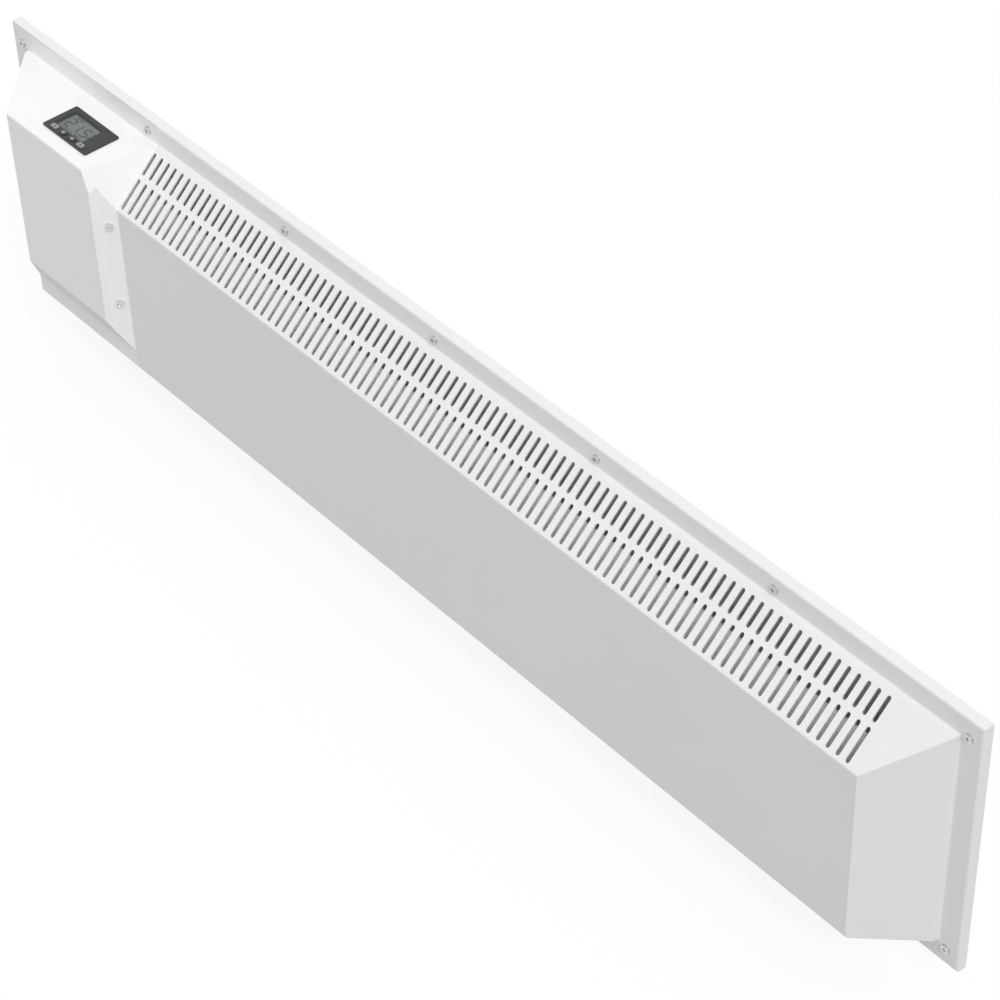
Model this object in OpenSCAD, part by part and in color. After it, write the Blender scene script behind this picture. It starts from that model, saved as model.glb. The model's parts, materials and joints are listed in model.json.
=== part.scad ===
// Skirting heater: a long, low electric heater that hangs on a wall just above the floor.
// X runs along the heater to the right, Y towards the wall and Z up. The origin is the middle
// of the flange on the wall plane, which is also the middle of the four wall fixings.

/* [Casing] */
// Length over the flange
case_l = 1200; // [900:10:1800]
// Height over the flange
case_h = 270; // [260:1:290]
// Stand-off of the flange's face from the wall
rim_d = 10; // [8:0.5:16]
// Width of the flange around the casing
flange_w = 22; // [20:1:28]
// Upstand between the flange and the sloping faces
upstand = 4.5; // [4.2:0.1:7]
// Depth of the front panel in front of the flange
front_d = 52; // [50:1:58]
// Height of the fold line above the bottom edge
fold_h = 204; // [200:1:212]
// Thickness of the casing sheet
sheet = 1.5; // [1:0.1:1.8]
// Outer radius of the folds
bend_r = 2.4; // [1.9:0.1:2.6]

/* [Outlet grille] */
// Pitch of the outlet slots along the casing
slot_pitch = 10; // [8:0.5:20]
// Width of an outlet slot
slot_w = 4; // [3:0.5:6]
// Plain edge between the fold line and the lower row
slot_low_edge = 3.2; // [3:0.1:5]
// Length of the slots of the lower row
slot_low_l = 31; // [20:0.5:32]
// Plain web between the two rows
slot_web = 4.5; // [4:0.5:8]
// Plain edge between the upper row and the top of the slope
slot_top_edge = 3.5; // [3:0.1:6]
// Plain sheet between the cover and the first slot
grille_start = 2; // [1:0.5:20]
// Plain sheet between the last slot and the edge of the right end
grille_blank = 10; // [6:1:60]

/* [Air inlet] */
// Pitch of the inlet slots in the bottom shelf
inlet_pitch = 14; // [12:1:30]
// Width of an inlet slot
inlet_w = 5; // [3:0.5:8]
// Length of an inlet slot
inlet_l = 32; // [20:1:36]

/* [Control cover] */
// Distance from the casing's left edge to the right edge of the cover's front
cover_l = 211; // [205:1:260]
// Depth of the cover in front of the flange
cover_d = 71; // [68:1:80]
// Square step beside the cover's front, before the chamfered strip
cover_step = 7; // [5:0.5:9]
// Height of the top of the tapered foot above the bottom edge
taper_top_h = 80; // [70:1:90]
// Height of the bottom of the tapered foot above the bottom edge
taper_low_h = 42; // [34:1:50]
// Length that the roof chamfer takes off the top front edge
corner_cut = 8; // [4:1:14]
// Width of the lip that the flange has behind the cover
lip_w = 12; // [10:1:16]
// Height of a locating tongue
tongue_h = 20; // [12:1:30]
// Distance of each tongue from the middle of the casing
tongue_z = 60; // [40:1:75]
// Reach of a tongue behind the flange's face
tongue_l = 6; // [4:0.5:6.5]

/* [Display] */
// Length of the bezel
bezel_l = 65; // [64:0.5:80]
// Width of the bezel
bezel_w = 38; // [37.5:0.5:42]
// Distance from the casing's left edge to the middle of the bezel
bezel_x = 157.5; // [135:0.5:160]
// Distance from the flange's face to the middle of the bezel
bezel_d = 38; // [32:0.5:42]
// Height of the bezel above the cover
bezel_t = 1.2; // [0.8:0.1:2]
// Depth of the bezel's skirt below the cover's top
skirt_d = 12; // [11.5:0.5:16]
// Length of the display opening
lcd_l = 40; // [30:0.5:40]
// Width of the display opening
lcd_w = 22; // [16:0.5:22]
// Thickness of the window
window_t = 1; // [0.8:0.1:1.5]

/* [Keys] */
// Length of a key
key_l = 8; // [6:0.5:9]
// Width of a key
key_w = 5; // [4:0.5:5]
// Pitch of the keys
key_pitch = 13; // [12:0.5:13.5]
// Height of a key above the bezel
key_proud = 0.8; // [0.7:0.1:1.6]
// Travel of a key
key_travel = 0.6; // [0.3:0.1:0.7]

/* [Heating element] */
// Diameter of the element's sheath
element_d = 8.5; // [6:0.5:10]
// Diameter of the fins
fin_d = 30; // [24:1:34]
// Pitch of the fins
fin_pitch = 10; // [6:1:20]
// Thickness of a fin
fin_t = 1; // [0.6:0.1:2]
// Height of the element above the bottom edge
element_h = 70; // [60:1:90]
// Distance of the element's axis from the wall
element_back = 26; // [24:1:30]
// Distance of the front baffle from the wall
baffle_d = 48; // [46:1:50]
// Thickness of the front baffle
baffle_t = 0.8; // [0.6:0.1:1]

/* [Back tray] */
// Thickness of the tray, the bulkhead and the brackets
plate = 1.2; // [0.8:0.1:1.5]
// Gap between the tray and the casing's rim
rim_gap = 2; // [1:0.5:4]
// Height of the tray's lips
lip_h = 20; // [18:1:24]
// Distance between the wall fixings along the casing
fix_l = 880; // [600:10:900]
// Distance between the wall fixings in height
fix_h = 200; // [180:1:204]
// Diameter of the wall fixing holes
fix_d = 7; // [5:0.5:8]
// Height of the two pressed beads above the tray
bead_h = 2.5; // [1.5:0.1:3]
// Radius of a bead's round section
bead_r = 9; // [8:0.5:11]

/* [Cable entry] */
// Diameter of the cable entry hole
entry_d = 20; // [16:1:22]
// Bore of the grommet
grommet_d = 10; // [6:0.5:11]
// Length of the grommet
grommet_l = 6; // [5:0.5:7]

/* [Fasteners] */
// Number of flange screws in a row, corners included
flange_screws_n = 7; // [5:1:9]
// Core diameter of the flange and cover screws
screw_d = 3.2; // [2.6:0.1:3.6]
// Head diameter of the flange and cover screws
screw_head_d = 8; // [7:0.1:9]
// Head height of the flange and cover screws
screw_head_h = 2.4; // [1.8:0.1:2.8]
// Length of the flange and cover screws under the head
screw_l = 6.5; // [5:0.1:6.5]
// Core diameter of the small fixing screws
fixing_d = 2.6; // [2.2:0.1:2.8]

/* [Hidden] */
$fn = 48;

// Clearance of a snug fit, of a loose one, and of a screw in a plain hole
fit = 0.05;
gap = 0.3;
hole_gap = 0.65;
// Cuts reach this far past the face that they open
over = 1;
// A block larger than the whole casing, for cutting along a plane
huge = 2500;
// Flat faces that make up one rounded fold
bend_steps = 4;

// Edges of the flange and planes of the casing
left = -case_l / 2;
right = case_l / 2;
top = case_h / 2;
bottom = -case_h / 2;
wall_gap = 0.5;
face_y = -rim_d;
front_y = -rim_d - front_d;
cover_y = -rim_d - cover_d;
fold_z = bottom + fold_h;
roof_z = top - flange_w;
shelf_z = bottom + flange_w;
// The right end is cut back at 45 degrees
hip_x = right - flange_w - (front_d - upstand);
cover_x = left + cover_l;
cover_end = cover_x + cover_d - cover_step - front_d;

// Vector helpers for folded sheet
function unit(v) = v / norm(v);
function left_normal(a, b) = let (d = unit(b - a)) [-d.y, d.x];
function turned(v, a) = [v.x * cos(a) - v.y * sin(a), v.x * sin(a) + v.y * cos(a)];
function slice(p, a, b) = [for (i = [a:b]) p[i]];
function backwards(p) = [for (i = [len(p) - 1:-1:0]) p[i]];

// A path moved sideways by t, to its left
function shifted(p, t) = [
    for (i = [0:len(p) - 1])
        let (
            na = left_normal(p[max(i - 1, 0)], p[max(i, 1)]),
            nb = left_normal(p[min(i, len(p) - 2)], p[min(i + 1, len(p) - 1)])
        )
        p[i] + t * (na + nb) / (1 + na * nb)
];

// The outline of a sheet of thickness t whose outer face follows a path
function folded(p, t) = concat(p, backwards(shifted(p, t)));

// The points of one rounded fold at p, between directions a and b
function fold_arc(p, a, b, r) =
    let (
        side = a.x * b.y - a.y * b.x > 0 ? 1 : -1,
        angle = acos(a * b),
        start = p - a * r * tan(angle / 2),
        n = side * [-a.y, a.x]
    )
    [for (k = [0:bend_steps]) start + r * n - r * turned(n, side * angle * k / bend_steps)];

// A path with every corner rounded to radius r
function bent(p, r) = concat(
    [p[0]],
    [for (i = [1:len(p) - 2]) each fold_arc(p[i], unit(p[i] - p[i - 1]), unit(p[i + 1] - p[i]), r)],
    [p[len(p) - 1]]
);

// Outer face of the casing from the top rim to the bottom rim, as [Y, Z]
case_corners = [
    [-wall_gap, top], [face_y, top], [face_y, roof_z], [face_y - upstand, roof_z],
    [front_y, fold_z], [front_y, shelf_z], [face_y, shelf_z], [face_y, bottom],
    [-wall_gap, bottom]
];
case_outer = bent(case_corners, bend_r);
case_inner = shifted(case_outer, sheet);
// The two blanks meet in the middle of the fold above the front
folds_above = 3;
fold_i = 1 + folds_above * (bend_steps + 1) + bend_steps / 2;
last_i = len(case_outer) - 1;
slope_run = [roof_z - fold_z, front_d - upstand];
slope_a = atan2(slope_run.x, slope_run.y);
slot_high_edge = slot_low_edge + slot_low_l + slot_web;
slot_high_l = norm(slope_run) - slot_high_edge - slot_top_edge;

// Plan of the right end from the front to the wall, as [X, Y]
end_run = 5;
end_outer = bent([
    [hip_x - end_run, front_y - end_run], [right - flange_w, face_y - upstand],
    [right - flange_w, face_y], [right, face_y], [right, -wall_gap]
], bend_r);
end_inner = shifted(end_outer, sheet);

// Plan and section of the control cover's outer face
cover_plan = bent([
    [left + flange_w, face_y], [left + flange_w, face_y - upstand],
    [left + flange_w + cover_d - upstand, cover_y], [cover_x, cover_y],
    [cover_x, cover_y + cover_step], [cover_end, front_y]
], bend_r);
cover_section = bent([
    [face_y, roof_z], [cover_y, roof_z], [cover_y, bottom + taper_top_h],
    [front_y, bottom + taper_low_h], [front_y, shelf_z], [face_y, shelf_z]
], bend_r);
// The roof chamfer falls from the cover's top front edge to the left end of the slope
roof_low = [cover_end, front_y, fold_z];
roof_high = [cover_x - corner_cut, cover_y, roof_z];
roof_back = [cover_end, face_y - upstand, roof_z];
roof_normal = unit(cross(roof_low - roof_high, roof_back - roof_high));

// Places of the flange screws, as [X, Z]
screw_edge = 12;
corner_in = 13;
corner_drop = 18;
row_pitch = (case_l - 2 * corner_in) / (flange_screws_n - 1);
flange_screw_places = [
    for (side = [-1, 1], k = [0:flange_screws_n - 1])
        let (corner = k == 0 || k == flange_screws_n - 1)
        [left + corner_in + k * row_pitch, side * (top - (corner ? corner_drop : screw_edge))]
];
screw_hole_d = screw_d + 2 * hole_gap;

// The two screws in the cover's chamfered strip
strip_mid = [(cover_x + cover_end) / 2, (cover_y + cover_step + front_y) / 2];
cover_screw_high = 18;
cover_screw_low = 106;
cover_screw_z = [fold_z - cover_screw_high, fold_z - cover_screw_low];

// Back tray: section from lip to lip as [Y, Z], and half of its length
lip_y = face_y + sheet;
tray_z = top - sheet - rim_gap;
tray_x = case_l / 2 - sheet - rim_gap;
tray_face = -plate;
tray_path = [
    [lip_y, lip_h - tray_z], [lip_y, -tray_z], [0, -tray_z], [0, tray_z], [lip_y, tray_z],
    [lip_y, tray_z - lip_h]
];

// Beads of the tray, above the feet of the element's brackets
bead_z = [-26, 48];
bead_in = 30;
bead_y = bead_r - plate - bead_h;

// Bulkhead: a foot on the tray and a flange behind the cover's chamfered strip
bulk_back = 3;
bulk_x = cover_end - bulk_back;
bulk_fold = 8;
bulk_flange_h = 118;
foot_l = 14;
foot_mid = foot_l / 2 + over;
strip_back = cover_y + cover_step - cover_x + (sheet + plate) * sqrt(2);
bulk_path = [
    [bulk_x + foot_l, tray_face], [bulk_x, tray_face], [bulk_x, bulk_x + strip_back],
    [bulk_x - bulk_fold, bulk_x - bulk_fold + strip_back]
];
bulk_screw_z = 80;

// Heating element and what carries it
element_y = -element_back;
element_z = bottom + element_h;
baffle_y = -baffle_d;
bracket_in = 45;
bracket_x = [cover_end + bracket_in, (cover_end + hip_x) / 2, hip_x - bracket_in];
bracket_h = 44;
bracket_tab = 12;
bracket_screw_z = 14;
bush_d = 14;
bush_l = 8;
bush_flange_d = 19;
bush_flange_t = 2.5;
fin_clear = 9;
rod_over = 20;
pin_d = 3;
pin_l = 12;

// Display, measured from the middle of the bezel on the cover's top
bezel_mid = [left + bezel_x, face_y - bezel_d, roof_z];
bezel_edge = 1.2;
bezel_wall = 1;
bezel_plate = 1.3;
bezel_corner = 2;
plug_l = bezel_l - 2 * bezel_edge;
plug_w = bezel_w - 2 * bezel_edge;
lcd_mid = [-5.5, 2];
lcd_border = 1;
window_lap = 0.7;
window_corner = 1;
key_mid = [-1, -13.5];
key_corner = 0.8;
collar_h = 1;
collar_lap = 1.5;
collar_z = -bezel_plate - fit - collar_h;
board_t = 1.6;
board_z = -8.5;
post_x = bezel_l / 2 - 3.8;
post_y = bezel_w / 2 - 4.5;
post_d = 3.6;
post_bore = 1.8;
post_bore_l = 5;
switch_size = [5, 4, 3.5];
plunger_h = 0.7;
switch_gap = 0.2;

// Power board and what stands around it on the tray
power_in = 60;
power_x = left + power_in;
power_z = -12;
power_l = 100;
power_h = 70;
pillar_h = 12;
pillar_in = 6;
pillar_bore_l = 7;
power_y = tray_face - pillar_h;
power_face = power_y - board_t;
power_corners = [
    for (x = [pillar_in, power_l - pillar_in], z = [pillar_in, power_h - pillar_in])
        [power_x + x, power_z + z]
];
block_in = 150;
block_x = left + block_in;
block_h = 62;
block_z = bottom + block_h;
block_size = [44, 18, 20];
block_poles = 3;
pole_pitch = 9;
block_fix_x = 18;
block_floor = 4;
shaft_l = 5;
entry_in = 60;
entry_x = left + entry_in;
entry_z = block_z;
clamp_in = 95;
clamp_x = left + clamp_in;
clamp_fix_z = 10;
clamp_t = 3;
earth_in = 185;
earth_x = left + earth_in;
earth_rise = 32;
earth_z = block_z + earth_rise;
wire_hole_d = 14;
wire_y = element_y + 2;
cutout_rise = 45;
cutout_z = element_z + cutout_rise;
cutout_d = 16;
sensor_h = 38;
sensor_z = bottom + sensor_h;
sensor_y = -30;

// Leads of the element: near and far leave the board one above the other
lead_d = 2.4;
lead_turn = 4;
lead_in = 8;
lead_rise = 10;
lead_low = power_z + 12;
lead_drop_x = bulk_x - 30;
run_y = tray_face - 4.8;
run_z = element_z - bracket_h / 2 - 4;

// Turns a section drawn as [Y, Z] into a length along X
module along_x(x0, x1) {
    translate([x0, 0, 0])
        rotate([90, 0, 90])
            linear_extrude(x1 - x0)
                children();
}

// Turns an outline drawn as [X, Z] into a depth along Y
module along_y(y0, y1) {
    translate([0, y1, 0])
        rotate([90, 0, 0])
            linear_extrude(y1 - y0)
                children();
}

// Turns a plan drawn as [X, Y] into a height
module along_z(z0, z1) {
    translate([0, 0, z0])
        linear_extrude(z1 - z0)
            children();
}

// All that lies beyond a plane
module beyond(point, normal) {
    translate(point)
        rotate([0, acos(normal.z), atan2(normal.y, normal.x)])
            translate([-huge / 2, -huge / 2, 0])
                cube(huge);
}

// A round hole or pin along Y, from depth y0 to y1, at p = [X, Z]
module round_y(p, y0, y1, d) {
    translate([p.x, y1, p.y])
        rotate([90, 0, 0])
            cylinder(d = d, h = y1 - y0);
}

// A round hole along X, from x0 to x1, at p = [Y, Z]
module round_x(p, x0, x1, d) {
    translate([x0, p.x, p.y])
        rotate([0, 90, 0])
            cylinder(d = d, h = x1 - x0);
}

module rounded_plate(l, w, r, h) {
    linear_extrude(h)
        union() {
            square([l - 2 * r, w], center = true);
            square([l, w - 2 * r], center = true);
            for (x = [-1, 1], y = [-1, 1])
                translate([x * (l / 2 - r), y * (w / 2 - r)])
                    circle(r);
        }
}

// The cut of a slot with round ends, w wide along X and l long along Y
module round_slot(w, l, h) {
    linear_extrude(h)
        union() {
            translate([0, w / 2])
                square([w, l - w]);
            for (y = [w / 2, l - w / 2])
                translate([w / 2, y])
                    circle(w / 2);
        }
}

// Holes of one diameter through the flange and the tray's lips
module flange_holes(d) {
    for (p = flange_screw_places)
        round_y(p, face_y - over, lip_y + plate + over, d);
}

// The space of the two casing blanks: the flange between its mitred corners, and the body
module between_ends() {
    l = flange_w + lip_w;
    r = flange_w + sheet;
    along_y(face_y, 0)
        polygon([
            [left, top], [left + l, top - l], [left + l, bottom + l], [left, bottom],
            [right, bottom], [right - r, bottom + r], [right - r, top - r], [right, top]
        ]);
    intersection() {
        along_y(front_y - over, face_y)
            polygon([[cover_end, bottom], [right, bottom], [right, top], [cover_end, top]]);
        along_z(bottom, top)
            polygon(concat([[cover_end, 0], [cover_end, front_y - over]], end_inner));
    }
}

// One blank of the casing from its section, and the lip that it has behind the cover
module casing_blank(section, lip) {
    intersection() {
        union() {
            along_x(cover_end, right)
                polygon(section);
            along_x(left, cover_end)
                polygon(folded(lip, sheet));
        }
        between_ends();
    }
}

// One row of outlet slots, from a distance above the fold line
module outlet_row(from, length) {
    first = cover_end + grille_start;
    last = floor((hip_x - grille_blank - slot_w - first) / slot_pitch);
    for (k = [0:last])
        translate([first + k * slot_pitch, front_y, fold_z])
            rotate([slope_a, 0, 0])
                translate([0, from, -sheet - over])
                    round_slot(slot_w, length, sheet + 2 * over);
}

module outlet_grille() {
    color("whitesmoke")
        difference() {
            casing_blank(
                concat(slice(case_outer, 0, fold_i), backwards(slice(case_inner, 0, fold_i))),
                [[-wall_gap, top], [face_y, top], [face_y, roof_z - lip_w]]
            );
            outlet_row(slot_low_edge, slot_low_l);
            outlet_row(slot_high_edge, slot_high_l);
            flange_holes(screw_hole_d);
        }
}

module inlet_row() {
    first = cover_end + inlet_pitch - inlet_w / 2;
    last = floor((hip_x - inlet_pitch - first) / inlet_pitch);
    for (k = [0:last])
        translate([first + k * inlet_pitch, face_y - (front_d + inlet_l) / 2, shelf_z - over])
            round_slot(inlet_w, inlet_l, sheet + 2 * over);
}

module front_panel() {
    color("gainsboro")
        difference() {
            casing_blank(
                concat(
                    slice(case_outer, fold_i, last_i), backwards(slice(case_inner, fold_i, last_i))
                ),
                [[face_y, shelf_z + lip_w], [face_y, bottom], [-wall_gap, bottom]]
            );
            inlet_row();
            flange_holes(screw_hole_d);
        }
}

// The hip, its upstand and the right flange, inside the casing's own section
module right_end() {
    r = flange_w + sheet;
    color("whitesmoke")
        difference() {
            intersection() {
                along_z(bottom, top)
                    polygon(folded(end_outer, sheet));
                along_x(hip_x - end_run, right)
                    polygon(case_outer);
                union() {
                    along_y(face_y, 0)
                        polygon([
                            [right, top], [right - r, top - r], [right - r, bottom + r], [right, bottom]
                        ]);
                    translate([hip_x - end_run, front_y, bottom])
                        cube([right - hip_x + end_run, front_d, case_h]);
                }
            }
            flange_holes(screw_hole_d);
        }
}

// The left flange, with slots in its lip for the cover's tongues
module left_end() {
    l = flange_w + lip_w;
    color("whitesmoke")
        difference() {
            intersection() {
                along_z(bottom, top)
                    polygon(folded([[left, -wall_gap], [left, face_y], [left + l, face_y]], sheet));
                along_y(face_y, 0)
                    polygon([[left, top], [left + l, top - l], [left + l, bottom + l], [left, bottom]]);
            }
            flange_holes(screw_hole_d);
            for (side = [-1, 1])
                translate([left + flange_w - gap, face_y - over, side * tongue_z - tongue_h / 2 - gap])
                    cube([sheet + 2 * gap, sheet + 2 * over, tongue_h + 2 * gap]);
        }
}

// The cover's solid form; t moves its faces inwards, past an open back and right side
module cover_form(t) {
    plan = shifted(cover_plan, t);
    section = shifted(cover_section, t);
    open = t > 0 ? over : 0;
    n = len(plan) - 1;
    m = len(section) - 1;
    difference() {
        intersection() {
            along_z(bottom, top)
                polygon(concat(
                    [[plan[0].x, face_y + open]], slice(plan, 1, n),
                    [[cover_end + open, plan[n].y], [cover_end + open, face_y + open]]
                ));
            along_x(left, cover_end + open)
                polygon(concat(
                    [[face_y + open, section[0].y]], slice(section, 1, m - 1),
                    [[face_y + open, section[m].y]]
                ));
        }
        beyond(roof_low - roof_normal * t, roof_normal);
    }
}

// Something placed on the axis of each cover screw, which points out of the strip
module at_cover_screws() {
    for (z = cover_screw_z)
        translate([strip_mid.x, strip_mid.y, z])
            rotate([90, 0, 45])
                children();
}

module control_cover() {
    color("white")
        difference() {
            union() {
                difference() {
                    cover_form(0);
                    cover_form(sheet);
                }
                for (side = [-1, 1])
                    translate([left + flange_w, face_y - over, side * tongue_z - tongue_h / 2])
                        cube([sheet, tongue_l + over, tongue_h]);
            }
            translate(bezel_mid - [0, 0, sheet + over])
                rounded_plate(plug_l + 2 * gap, plug_w + 2 * gap, bezel_corner, sheet + 2 * over);
            at_cover_screws()
                cylinder(d = screw_hole_d, h = 2 * (sheet + over), center = true);
        }
}

// Places of the small screws in the tray, as [X, Z]
tray_fixings = concat(
    [for (x = bracket_x, side = [-1, 1]) [x + foot_mid, element_z + side * bracket_screw_z]],
    [for (side = [-1, 1]) [bulk_x + foot_mid, side * bulk_screw_z]],
    [for (side = [-1, 1]) [block_x + side * block_fix_x, block_z]],
    [for (side = [-1, 1]) [clamp_x, entry_z + side * clamp_fix_z]]
);

// A bar with round ends along each bead of the tray
module bead_bars(r) {
    for (z = bead_z) {
        x0 = bulk_x + foot_l + bead_in;
        x1 = tray_x - bead_in;
        round_x([bead_y, z], x0, x1, 2 * r);
        for (x = [x0, x1])
            translate([x, bead_y, z])
                sphere(r);
    }
}

module back_tray() {
    color("silver")
        difference() {
            union() {
                along_x(-tray_x, tray_x)
                    polygon(folded(tray_path, plate));
                for (x = [-tray_x, tray_x - plate])
                    translate([x, lip_y, -tray_z])
                        cube([plate, -lip_y, 2 * tray_z]);
                intersection() {
                    bead_bars(bead_r);
                    translate([-tray_x, tray_face - bead_r, -tray_z])
                        cube([2 * tray_x, bead_r + plate / 2, 2 * tray_z]);
                }
            }
            bead_bars(bead_r - plate);
            for (x = [-1, 1], z = [-1, 1])
                round_y([x * fix_l / 2, z * fix_h / 2], tray_face - over, over, fix_d);
            round_y([entry_x, entry_z], tray_face - over, over, entry_d);
            for (p = tray_fixings)
                round_y(p, tray_face - over, over, fixing_d + 2 * fit);
            flange_holes(screw_d + 2 * fit);
        }
}

// The bulkhead follows the casing's section and stays between the lips of the flange
module bulkhead() {
    inner = shifted(case_corners, sheet + gap);
    lip_z = lip_w + gap - roof_z;
    flange_top = fold_z - over;
    color("silver")
        difference() {
            union() {
                intersection() {
                    along_z(bottom, top)
                        polygon(folded(slice(bulk_path, 0, 2), plate));
                    along_x(bulk_x, bulk_x + foot_l)
                        polygon([
                            [tray_face, -lip_z], [face_y - gap, -lip_z], [face_y - gap, inner[3].y],
                            inner[3], inner[4], inner[5], [face_y - gap, inner[5].y],
                            [face_y - gap, lip_z], [tray_face, lip_z]
                        ]);
                }
                along_z(flange_top - bulk_flange_h, flange_top)
                    polygon(folded(slice(bulk_path, 1, 3), plate));
            }
            at_cover_screws()
                cylinder(d = screw_d + 2 * fit, h = 4 * (sheet + plate), center = true);
            round_x([wire_y, element_z], bulk_x - over, bulk_x + plate + over, wire_hole_d);
            round_x([element_y, cutout_z], bulk_x - over, bulk_x + plate + over, cutout_d + 2 * gap);
            for (side = [-1, 1])
                round_y([bulk_x + foot_mid, side * bulk_screw_z], tray_face - plate - over, over,
                        fixing_d + 2 * hole_gap);
        }
}

// Places of the fins, clear of the middle bracket
fin_first = bracket_x[0] + bush_l + fin_clear;
fin_last = bracket_x[2] - fin_clear;
fin_x = [
    for (k = [0:floor((fin_last - fin_first) / fin_pitch)])
        let (x = fin_first + k * fin_pitch)
        if (x + fin_t < bracket_x[1] - fin_clear || x > bracket_x[1] + bush_l + fin_clear) x
];

// Finned sheath turned about its own axis, with a terminal pin at each end
module heating_element() {
    x0 = bracket_x[0] - rod_over;
    x1 = bracket_x[2] + rod_over;
    fins = [
        for (x = fin_x)
            each [[element_d / 2, x], [fin_d / 2, x], [fin_d / 2, x + fin_t], [element_d / 2, x + fin_t]]
    ];
    color("dimgray")
        translate([0, element_y, element_z])
            rotate([0, 90, 0])
                rotate_extrude()
                    polygon(concat(
                        [[0, x0 - pin_l], [pin_d / 2, x0 - pin_l], [pin_d / 2, x0], [element_d / 2, x0]],
                        fins,
                        [[element_d / 2, x1], [pin_d / 2, x1], [pin_d / 2, x1 + pin_l], [0, x1 + pin_l]]
                    ));
}

module element_brackets() {
    color("silver")
        for (x = bracket_x)
            difference() {
                along_z(element_z - bracket_h / 2, element_z + bracket_h / 2)
                    polygon(folded([
                        [x + foot_l, tray_face], [x, tray_face], [x, baffle_y], [x + bracket_tab, baffle_y]
                    ], plate));
                round_x([element_y, element_z], x - over, x + plate + over, bush_d + 2 * gap);
                for (side = [-1, 1])
                    round_y([x + foot_mid, element_z + side * bracket_screw_z], tray_face - plate - over,
                            over, fixing_d + 2 * hole_gap);
                round_y([x + bracket_tab / 2, element_z], baffle_y - over, baffle_y + plate + over,
                        fixing_d + 2 * fit);
            }
}

// Ceramic bushes: a neck through the bracket, a flange against it and a nose
module insulating_bushes() {
    bore = element_d / 2 + fit;
    nose_t = 1;
    color("ivory")
        for (x = bracket_x)
            translate([x + plate, element_y, element_z])
                rotate([0, 90, 0])
                    rotate_extrude()
                        polygon([
                            [bore, -bush_flange_t - plate], [bush_d / 2, -bush_flange_t - plate],
                            [bush_d / 2, 0], [bush_flange_d / 2, 0], [bush_flange_d / 2, bush_flange_t],
                            [bush_d / 2, bush_flange_t], [bore + nose_t, bush_l - plate],
                            [bore, bush_l - plate]
                        ]);
}

// The baffle stands between the element and the front. Its head turns the hot air to the upper
// row of slots, so that the cool air before it leaves by the lower row
module front_baffle() {
    toe = [8, 8];
    head = [18, 26];
    air_below = 10;
    air_above = 20;
    end_gap = 8;
    low_z = shelf_z + air_below;
    high_z = fold_z - air_above;
    color("lightgray")
        difference() {
            along_x(bulk_x + 2 * plate + gap, hip_x - end_gap)
                polygon(folded([
                    [baffle_y - toe.x, low_z], [baffle_y, low_z + toe.y],
                    [baffle_y, high_z], [baffle_y + head.x, high_z + head.y]
                ], baffle_t));
            for (x = bracket_x)
                round_y([x + bracket_tab / 2, element_z], baffle_y - baffle_t - over, baffle_y + over,
                        fixing_d + 2 * hole_gap);
        }
}

// Disc thermostat: its cap looks into the heating chamber, its blades stand on the cool side
module overheat_cutout() {
    cap_h = 4;
    rim = 4;
    rim_t = 1;
    body_h = 9;
    blade = [0.8, 6.3, 8];
    blade_x = 4.5;
    color("gainsboro")
        translate([bulk_x, element_y, cutout_z])
            rotate([0, -90, 0]) {
                rotate_extrude()
                    polygon([
                        [0, -cap_h], [cutout_d / 2, -cap_h], [cutout_d / 2, 0], [cutout_d / 2 + rim, 0],
                        [cutout_d / 2 + rim, rim_t], [cutout_d / 2, rim_t], [cutout_d / 2, body_h],
                        [0, body_h]
                    ]);
                for (side = [-1, 1])
                    translate([side * blade_x - blade.x / 2, -blade.y / 2, body_h - fit])
                        cube(blade);
            }
}

// Something placed from the middle of the bezel
module at_bezel() {
    translate(bezel_mid)
        children();
}

// Something placed from the middle of key k
module at_key(k) {
    at_bezel()
        translate([key_mid.x + (k - 1.5) * key_pitch, key_mid.y, 0])
            children();
}

// Something placed on the axis of each post of the bezel, at height z
module at_posts(z) {
    at_bezel()
        for (x = [-1, 1], y = [-1, 1])
            translate([x * post_x, y * post_y, z])
                children();
}

// Face plate and hollow skirt, with the posts of the board and a snap ridge on each side
module display_bezel() {
    snap = [8, 0.8, 1.5];
    well = [plug_l - 2 * bezel_wall, plug_w - 2 * bezel_wall, skirt_d - bezel_plate + over];
    deep = bezel_plate + bezel_t + 2 * over;
    lap = 2 * window_lap;
    color([0.09, 0.1, 0.11])
        difference() {
            union() {
                at_bezel() {
                    rounded_plate(bezel_l, bezel_w, bezel_corner, bezel_t);
                    translate([0, 0, -skirt_d])
                        difference() {
                            rounded_plate(plug_l, plug_w, bezel_corner, skirt_d);
                            translate([-well.x / 2, -well.y / 2, -over])
                                cube(well);
                        }
                    for (side = [-1, 1])
                        translate([-snap.x / 2, side * plug_w / 2 - snap.y / 2, -sheet - snap.z - gap / 2])
                            cube(snap);
                }
                at_posts(board_z)
                    cylinder(d = post_d, h = -board_z);
            }
            at_bezel()
                translate(lcd_mid) {
                    translate([0, 0, -bezel_plate - over])
                        rounded_plate(lcd_l, lcd_w, window_corner, deep);
                    translate([0, 0, bezel_t - window_t])
                        rounded_plate(lcd_l + lap, lcd_w + lap, window_corner, window_t + over);
                }
            for (k = [0:3])
                at_key(k)
                    translate([0, 0, -bezel_plate - over])
                        rounded_plate(key_l + 2 * gap, key_w + 2 * gap, key_corner, deep);
            at_posts(board_z - over)
                cylinder(d = post_bore, h = post_bore_l + over);
        }
}

module display_window() {
    trim = window_lap - fit;
    color([0.75, 0.82, 0.82, 0.5])
        at_bezel()
            translate([lcd_mid.x, lcd_mid.y, bezel_t - window_t])
                rounded_plate(lcd_l + 2 * trim, lcd_w + 2 * trim, window_corner, window_t);
}

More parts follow.
